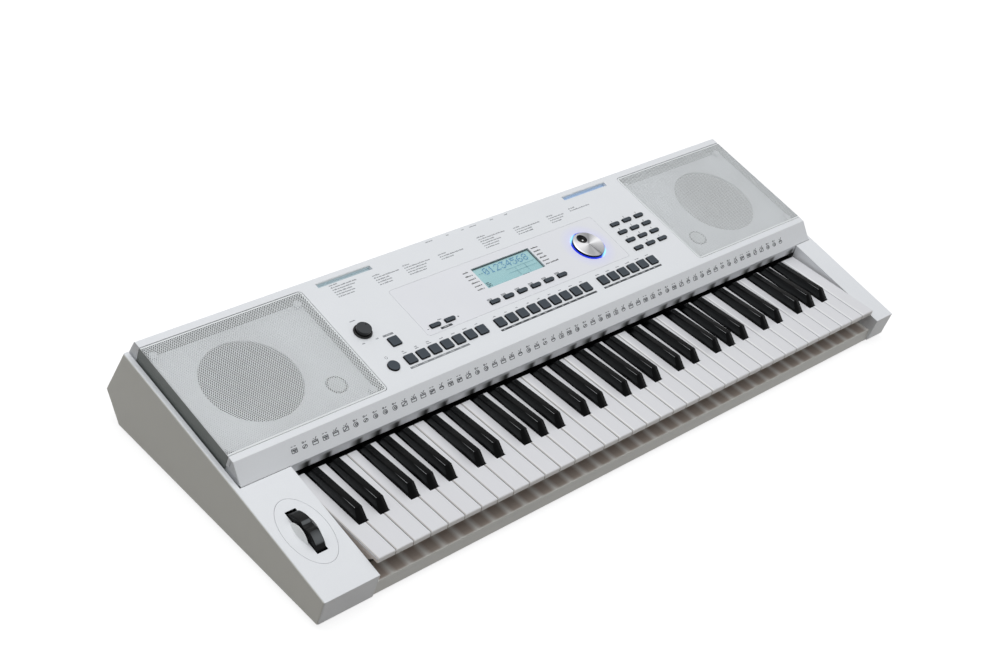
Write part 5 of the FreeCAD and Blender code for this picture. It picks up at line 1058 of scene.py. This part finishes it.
bm = bmesh.new()
for x, v, count, width in LISTS:
    print_line(bm, x, v, (draw.randint(3, 4), draw.randint(5, 6)), LIST_LETTER)
    for number in range(1, count):
        full = width if number == 1 else width * draw.uniform(0.5, 0.75)
        end = print_line(bm, x, v - number * LIST_PITCH, (2, 2), LIST_LETTER)
        while end < x + full - 3.0:
            end = print_word(bm, end, v - number * LIST_PITCH, draw.randint(3, 6), LIST_LETTER)
for x, words in BACK_LABELS:
    print_line(bm, x, BACK_V, words, BACK_LETTER)
for x, count, letters, two_lined in SQUARE_LABELS:
    for number in range(count):
        words = (draw.randint(letters, letters + 2),)
        start = x + number * ROW_PITCH - line_length(words, SQUARE_LETTER) / 2
        print_line(bm, start, SQUARE_LABEL_V, words, SQUARE_LETTER)
        if number < two_lined:
            print_line(bm, start + 0.5, SQUARE_LABEL_V + 2.6, (draw.randint(3, 4),), SQUARE_LETTER)
for x, v, letters in KNOB_LABELS:
    print_word(bm, x, v, letters, KNOB_LETTER)
piece("deck_labels", finished(bm, "deck_labels", ON_DECK, [PRINT_GREY]), "case")

INKS = [PRINT_DARK, PRINT_PALE, PRINT_MID, PRINT_BLACK]
DARK, PALE, MID, BLACK = range(len(INKS))
ROW_BARS = [(-218.0, -129.4, MID), (-79.4, 81.3, DARK), (95.0, 200.4, DARK)]
ROW_BAR_FRONT, ROW_BAR_BACK = 13.5, 16.2
TAGS = [(-217.0, 64.9, -202.3, 67.7, MID), (-145.2, 46.6, -127.8, 49.6, DARK)]
TAG_WORDS = [(-212.2, 65.9, 5.2), (-141.0, 47.7, 8.0)]
MINUS_AND_PLUS = [(-161.6, 52.8, -159.2, 53.5), (-114.2, 54.5, -111.8, 55.2),
                  (-113.35, 53.65, -112.65, 56.05)]
DISPLAY_LABEL_V, DISPLAY_LABEL_PITCH, DISPLAY_LETTER = 105.9, 5.75, 2.1
DISPLAY_LABEL_LEFT, DISPLAY_LABEL_RIGHT = -49.5, 51.6
POWER_SIGN_V, POWER_SIGN_OUTER, POWER_SIGN_INNER = 39.2, 1.9, 1.35


def print_ticks(bm, x, v, length, height, step):
    """Pale ticks that stand for a word on a tag."""
    end = x + length
    while x < end:
        print_bar(bm, x, v, x + 0.7, v + height, PALE, PALE_RISE)
        x += step


bm = bmesh.new()
for left, right, paint in ROW_BARS:
    print_bar(bm, left, ROW_BAR_FRONT, right, ROW_BAR_BACK, paint)
    x = left + 4
    while x < right - 12:
        for number in range(draw.randint(3, 6)):
            width = draw.choice((0.6, 0.7, 0.85))
            print_bar(bm, x, ROW_BAR_FRONT + 0.9, x + width, ROW_BAR_FRONT + 1.8, PALE, PALE_RISE)
            x += width + 0.35
        x += draw.uniform(6.5, 10.5)
for tag in TAGS:
    print_bar(bm, *tag)
for x, v, length in TAG_WORDS:
    print_ticks(bm, x, v, length, 1.0, 1.2)
for stroke in MINUS_AND_PLUS:
    print_bar(bm, *stroke, DARK)
for number in range(6):
    left = DISPLAY_ROW_X + number * OVAL_PITCH - OVAL_LENGTH / 2
    print_bar(bm, left - 0.6, OVAL_V + 3.9, left + 6.6, OVAL_V + 6.5, MID)
    print_ticks(bm, left + 0.4, OVAL_V + 4.6, 5.0, 1.2, 1.1)
for number in range(6):
    v = DISPLAY_LABEL_V - number * DISPLAY_LABEL_PITCH
    words = (draw.randint(6, 8),) if number < 5 else (5, 9)
    print_line(bm, DISPLAY_LABEL_RIGHT, v, words, DISPLAY_LETTER, BLACK)
    if number:
        start = DISPLAY_LABEL_LEFT - line_length((6, 1), DISPLAY_LETTER)
        print_line(bm, start, v, (6, 1), DISPLAY_LETTER, BLACK)
print_word(bm, DISPLAY_LABEL_LEFT - 12.0, DISPLAY_LABEL_V + 0.3, 6, DISPLAY_LETTER, BLACK)
sign = [(POWER_SIGN_OUTER, PRINT_LOW), (POWER_SIGN_OUTER, PRINT_HIGH), (POWER_SIGN_INNER, PRINT_HIGH),
        (POWER_SIGN_INNER, PRINT_LOW)]
loft(bm, [circle_ring(radius, height, 28, POWER_X, POWER_SIGN_V) for radius, height in sign], [MID] * 4, True)
piece("deck_bars", finished(bm, "deck_bars", ON_DECK, INKS), "case")


# Numbers of the keypad

KEYPAD_SIGNS = ["-", "0", "+", "7", "8", "9", "4", "5", "6", "1", "2", "3"]
NUMBER_SIZE, NUMBER_RISE = 4.3, 4.8


def number_mesh(bm, text, x, v):
    """A number as a thin solid, from Blender's own letter shapes."""
    curve = bpy.data.curves.new("number", "FONT")
    curve.body, curve.size, curve.align_x, curve.resolution_u = text, NUMBER_SIZE, "CENTER", 3
    curve.extrude = (PRINT_HIGH - PRINT_LOW) / 2
    holder = bpy.data.objects.new("number", curve)
    mesh = bpy.data.meshes.new_from_object(holder)
    mesh.transform(Matrix.Translation((x, v, (PRINT_HIGH + PRINT_LOW) / 2)))
    bm.from_mesh(mesh)
    bpy.data.objects.remove(holder)
    bpy.data.curves.remove(curve)
    bpy.data.meshes.remove(mesh)


bm = bmesh.new()
for number, sign in enumerate(KEYPAD_SIGNS):
    column, row = number % 3, number // 3
    v = KEYPAD_V + row * KEYPAD_ROW_PITCH + NUMBER_RISE
    number_mesh(bm, sign, KEYPAD_X + column * OVAL_PITCH - 0.2, v)
piece("keypad_numbers", finished(bm, "keypad_numbers", ON_DECK, [PRINT_DARK]), "case")


# Display: digits of five by seven dots, and marks placed from the window's front left corner

CELL_TOP, MARK_RISE, FRAME_RISE = -2.1, 0.04, 0.06
SEGMENTS = [SEGMENT_BLUE, SEGMENT_FAINT, SEGMENT_DARK, FRAME_SHADE]
DIGIT_BLUE, FAINT, MARK_DARK, FRAME_PAINTED_SHADOW = range(len(SEGMENTS))
DOTS = {"0": (14, 17, 19, 21, 25, 17, 14), "1": (4, 12, 4, 4, 4, 4, 14), "2": (14, 17, 1, 2, 4, 8, 31),
        "3": (31, 2, 4, 2, 1, 17, 14), "4": (2, 6, 10, 18, 31, 2, 2), "5": (31, 16, 30, 1, 1, 17, 14),
        "6": (6, 8, 16, 30, 17, 17, 14), "8": (14, 17, 17, 14, 17, 17, 14)}
DOT_PITCH, DOT_SIZE, DIGIT_PITCH, DIGIT_X, DIGIT_V = 1.5, 1.17, 9.3, 14.5, 20.4
FAINT_LINES = [(6.0, 24.0, 2.4, 1.0), (10.0, 24.0, 2.4, 1.0), (44.0, 16.5, 47.4, 0.5),
               (44.0, 10.5, 47.4, 0.5), (58.0, 3.0, 0.5, 13.5), (74.0, 3.0, 0.5, 13.5)]
DARK_MARKS = [(4.0, 8.5, 4.5, 1.2), (4.0, 6.0, 2.0, 1.2), (7.0, 6.0, 3.4, 1.2), (4.0, 3.2, 3.6, 1.4),
              (9.0, 3.2, 1.6, 1.4), (60.0, 0.8, 2.4, 1.4), (64.0, 0.8, 1.6, 1.4), (67.5, 0.8, 2.6, 1.4)]


def display_mark(bm, x, v, width, depth, paint, rise=MARK_RISE):
    left, front = WINDOW_LEFT + x, WINDOW_FRONT + v
    add_plate(bm, left, front, left + width, front + depth, CELL_TOP - 0.05, CELL_TOP + rise, paint)


bm = bmesh.new()
for number, sign in enumerate("01234568"):
    for line, bits in enumerate(DOTS[sign]):
        for column in range(5):
            if bits >> (4 - column) & 1:
                display_mark(bm, DIGIT_X + number * DIGIT_PITCH + column * DOT_PITCH,
                             DIGIT_V + (6 - line) * DOT_PITCH, DOT_SIZE, DOT_SIZE, DIGIT_BLUE)
for mark in FAINT_LINES:
    display_mark(bm, *mark, FAINT)
for mark in DARK_MARKS:
    display_mark(bm, *mark, MARK_DARK)
window_width, window_depth = WINDOW_RIGHT - WINDOW_LEFT, WINDOW_BACK - WINDOW_FRONT
# Painted shadow of the window's frame along the back and the right edge of the cell
display_mark(bm, 0.02, window_depth - 1.48, window_width - 0.04, 1.46, FRAME_PAINTED_SHADOW, FRAME_RISE)
display_mark(bm, window_width - 1.28, 0.02, 1.26, window_depth - 0.04, FRAME_PAINTED_SHADOW, FRAME_RISE)
piece("display_segments", finished(bm, "display_segments", ON_DECK, SEGMENTS), "case")


# Signs along the fallboard

SIGN_COUNT, SIGN_FIRST, SIGN_PITCH, SIGN_FOOT, SIGN_SEED = 61, -399.0, 13.55, 10.0, 3
SIGN_WIDEN, SIGN_RAISE, SIGN_KINDS, STROKE = 1.55, 1.2, 10, 0.55
BOX_STROKES = [(-2.2, 0.6, 2.2, 0.6), (2.2, 0.6, 2.2, 4.2), (2.2, 4.2, -2.2, 4.2), (-2.2, 4.2, -2.2, 0.6)]


def sign_bar(bm, x0, y0, x1, y1, width=STROKE):
    """A straight stroke between two points."""
    start, end = Vector((x0, y0, 0)), Vector((x1, y1, 0))
    across = Vector((y0 - y1, x1 - x0, 0)).normalized() * width / 2
    base = [start - across, end - across, end + across, start + across]
    loft(bm, [[point + Vector((0, 0, height)) for point in base] for height in (PRINT_LOW, PRINT_HIGH)])


def sign_hoop(bm, x, y, radius, squash=1.0, width=STROKE):
    rings = []
    for reach, height in ((radius, PRINT_LOW), (radius, PRINT_HIGH), (radius - width, PRINT_HIGH),
                          (radius - width, PRINT_LOW)):
        rings.append([Vector((x + p.x, y + p.y * squash, height)) for p in circle_ring(reach, 0.0, 14)])
    loft(bm, rings, loop=True)


def sign_shape(kind):
    """A plain little sign: a hoop or a box with a few strokes in and over it."""
    bm = bmesh.new()
    if kind % 2 == 0:
        sign_hoop(bm, 0.0, 2.4, 2.2, 0.8 + 0.05 * kind)
    else:
        for ends in BOX_STROKES:
            sign_bar(bm, *ends)
    if kind in (0, 3, 5, 8):
        sign_bar(bm, -1.6, 1.2, 1.6, 3.6, 0.8)
    if kind in (1, 4, 6, 9):
        sign_hoop(bm, 0.3, 2.3, 1.2, 1.0, 0.7)
    if kind in (2, 3, 7, 9):
        sign_bar(bm, -1.8, 3.0, 1.8, 3.0, 0.9)
    if kind in (1, 2, 5, 7, 8):
        sign_bar(bm, 0.0, 4.4, 1.8, 6.8)
        sign_bar(bm, -1.4, 5.6, -0.4, 5.6)
    if kind in (0, 4, 6):
        sign_hoop(bm, -0.8, 6.2, 0.9)
        sign_bar(bm, 0.6, 5.8, 2.0, 6.6)
    if kind in (3, 9):
        sign_bar(bm, -2.0, 6.4, -0.6, 6.4)
        sign_bar(bm, 0.4, 6.4, 2.0, 6.4)
    return finished(bm, f"sign_{kind}", Matrix.Diagonal((SIGN_WIDEN, SIGN_RAISE, 1, 1)), [])


signs = bpy.data.collections.new("fallboard_sign_set")
shapes = [bpy.data.objects.new(f"sign_{kind}", sign_shape(kind)) for kind in range(SIGN_KINDS)]
for shape in shapes:
    signs.objects.link(shape)
mesh = signs_rule().grown("fallboard_signs", {"Signs": signs, "Count": SIGN_COUNT, "Pitch": SIGN_PITCH,
                                              "Seed": SIGN_SEED, "Ink": PRINT_DARK.material})
for shape in shapes:
    bpy.data.objects.remove(shape)
bpy.data.collections.remove(signs)
mesh.transform(ON_FALLBOARD @ Matrix.Translation((SIGN_FIRST, SIGN_FOOT, 0)))
piece("fallboard_signs", mesh, "case")


# Black keys

BLACK_FRONT_LIFT, BLACK_BACK_LIFT = 0.9, -1.8


def sloped_black_keys(node):
    """The black keys of one note, with tops that fall a little to the back."""
    bm = bmesh.new()
    bm.from_mesh(frame["nodes"][node].data)
    bmesh.ops.scale(bm, vec=(1 / MM,) * 3, verts=bm.verts)
    bmesh.ops.remove_doubles(bm, verts=bm.verts, dist=0.002)
    for vert in bm.verts:
        share = max(0.0, (vert.co.z - KEY_TOP) / (BLACK_TOP - KEY_TOP))
        back = (vert.co.y - BLACK_FRONT) / (BLACK_BACK - BLACK_FRONT)
        vert.co.z += share * (BLACK_FRONT_LIFT + (BLACK_BACK_LIFT - BLACK_FRONT_LIFT) * back)
    return finished(bm, node + "_sloped", slope_frame(0, 0, 0), [FINISHES["key_black"]], 30.0)


for node in [note + "_sharp_keys" for note in "cdfga"]:
    piece(node + "_sloped", sloped_black_keys(node), node, (node,))


# Liners in the music rest slots: a floor and a back wall, whose upper part is white

LINER_FLOOR, LINER_FLOOR_TOP, LINER_STEP, LINER_EDGE, LINER_WALL = -5.6, -4.6, -2.3, -0.1, 0.6
SLOT_FINISHES = [SLOT_TEAL, SLOT_BLUE, HUMP_WHITE]
WALL_FRONT = SLOT_BACK - LINER_WALL
bm = bmesh.new()
for side, paint in ((-1, 0), (1, 1)):
    for front, low, high, finish in ((SLOT_FRONT, LINER_FLOOR, LINER_FLOOR_TOP, paint),
                                     (WALL_FRONT, LINER_FLOOR, LINER_STEP, paint),
                                     (WALL_FRONT, LINER_STEP, LINER_EDGE, 2)):
        add_plate_on_side(bm, side, SLOT_INNER, front, SLOT_OUTER, SLOT_BACK, low, high, finish)
piece("slot_liners", finished(bm, "slot_liners", ON_DECK, SLOT_FINISHES), "case")


# Floor and light

class StageNodes(Nodes):
    """Nodes of the floor and the sky, which look white to the camera and light the object from above."""

    def __init__(self, tree):
        super().__init__(tree)
        tree.nodes.clear()
        path = self.add("ShaderNodeLightPath").outputs
        seen = self.maths("MAXIMUM", path["Is Camera Ray"], path["Is Glossy Ray"])
        self.seen = self.maths("MAXIMUM", seen, path["Is Transmission Ray"])

    def end(self, hidden, shown, kind):
        """Join what lights the object and what is seen."""
        self.add(kind, {"Surface": self.out("ShaderNodeMixShader", {0: self.seen, 1: hidden, 2: shown})})


FLOOR_REACH, FLOOR_GLOW = 6.0, 0.83
FLOOR_BOUNCE, FLOOR_SEEN = (0.155, 0.138, 0.116, 1), (0.3, 0.3, 0.3, 1)
SKY_COLOUR, SKY_STRENGTH, SKY_FALL = (0.97, 0.985, 1.0, 1), 1.13, 1.5
PURE_WHITE = (1, 1, 1, 1)

floor_mesh = bpy.data.meshes.new("floor")
corners = [(FLOOR_REACH * x, FLOOR_REACH * y, 0.0) for x, y in ((-1, -1), (1, -1), (1, 1), (-1, 1))]
floor_mesh.from_pydata(corners, [], [(0, 1, 2, 3)])
floor = bpy.data.objects.new("floor", floor_mesh)
scene.collection.objects.link(floor)
floor_paint = bpy.data.materials.new("floor_white")
floor_paint.use_nodes = True
paint = StageNodes(floor_paint.node_tree)
bounce = paint.out("ShaderNodeBsdfDiffuse", {"Color": FLOOR_BOUNCE})
glow = paint.out("ShaderNodeEmission", {"Color": PURE_WHITE, "Strength": FLOOR_GLOW})
plain = paint.out("ShaderNodeBsdfDiffuse", {"Color": FLOOR_SEEN})
paint.end(bounce, paint.out("ShaderNodeAddShader", {0: glow, 1: plain}), "ShaderNodeOutputMaterial")
floor_mesh.materials.append(floor_paint)

world = bpy.data.worlds.new("studio")
scene.world = world
world.use_nodes = True
sky = StageNodes(world.node_tree)
direction = sky.add("ShaderNodeTexCoord").outputs["Generated"]
height = sky.add("ShaderNodeSeparateXYZ", {0: direction}).outputs[2]
fade = sky.maths("POWER", sky.maths("MAXIMUM", height), SKY_FALL)
level = sky.maths("MULTIPLY", fade, SKY_STRENGTH)
lighting = sky.out("ShaderNodeBackground", {"Color": SKY_COLOUR, "Strength": level})
backdrop = sky.out("ShaderNodeBackground", {"Color": PURE_WHITE, "Strength": 1.0})
sky.end(lighting, backdrop, "ShaderNodeOutputWorld")

lamp_data = bpy.data.lights.new("softbox", "AREA")
lamp_data.shape = "RECTANGLE"
lamp_data.size, lamp_data.size_y, lamp_data.energy = 2.0, 1.4, 12.5
lamp = bpy.data.objects.new("softbox", lamp_data)
lamp.location = (-0.2, 0.25, 2.1)
scene.collection.objects.link(lamp)

# Camera of the photograph: its axes, its place and its focal length in pixels of a picture 1000 wide
CAMERA_RIGHT = Vector((0.71483372, -0.67345744, 0.18832905))
CAMERA_DOWN = Vector((-0.29673708, -0.53598765, -0.79035709))
CAMERA_AHEAD = Vector((0.63321391, 0.50908969, -0.58298185))
CAMERA_PLACE = Vector((-1291.335, -973.743, 1203.786)) * MM
FOCAL_PIXELS, PICTURE_WIDTH, SENSOR_WIDTH = 1670.83, 1000.0, 36.0
camera_data = bpy.data.cameras.new("camera")
camera_data.sensor_width = SENSOR_WIDTH
camera_data.lens = FOCAL_PIXELS * SENSOR_WIDTH / PICTURE_WIDTH
camera = bpy.data.objects.new("camera", camera_data)
axes = Matrix((CAMERA_RIGHT, -CAMERA_DOWN, -CAMERA_AHEAD)).transposed().to_4x4()
camera.matrix_world = Matrix.Translation(CAMERA_PLACE) @ axes
scene.collection.objects.link(camera)
scene.camera = camera
scene.view_settings.view_transform = "Standard"
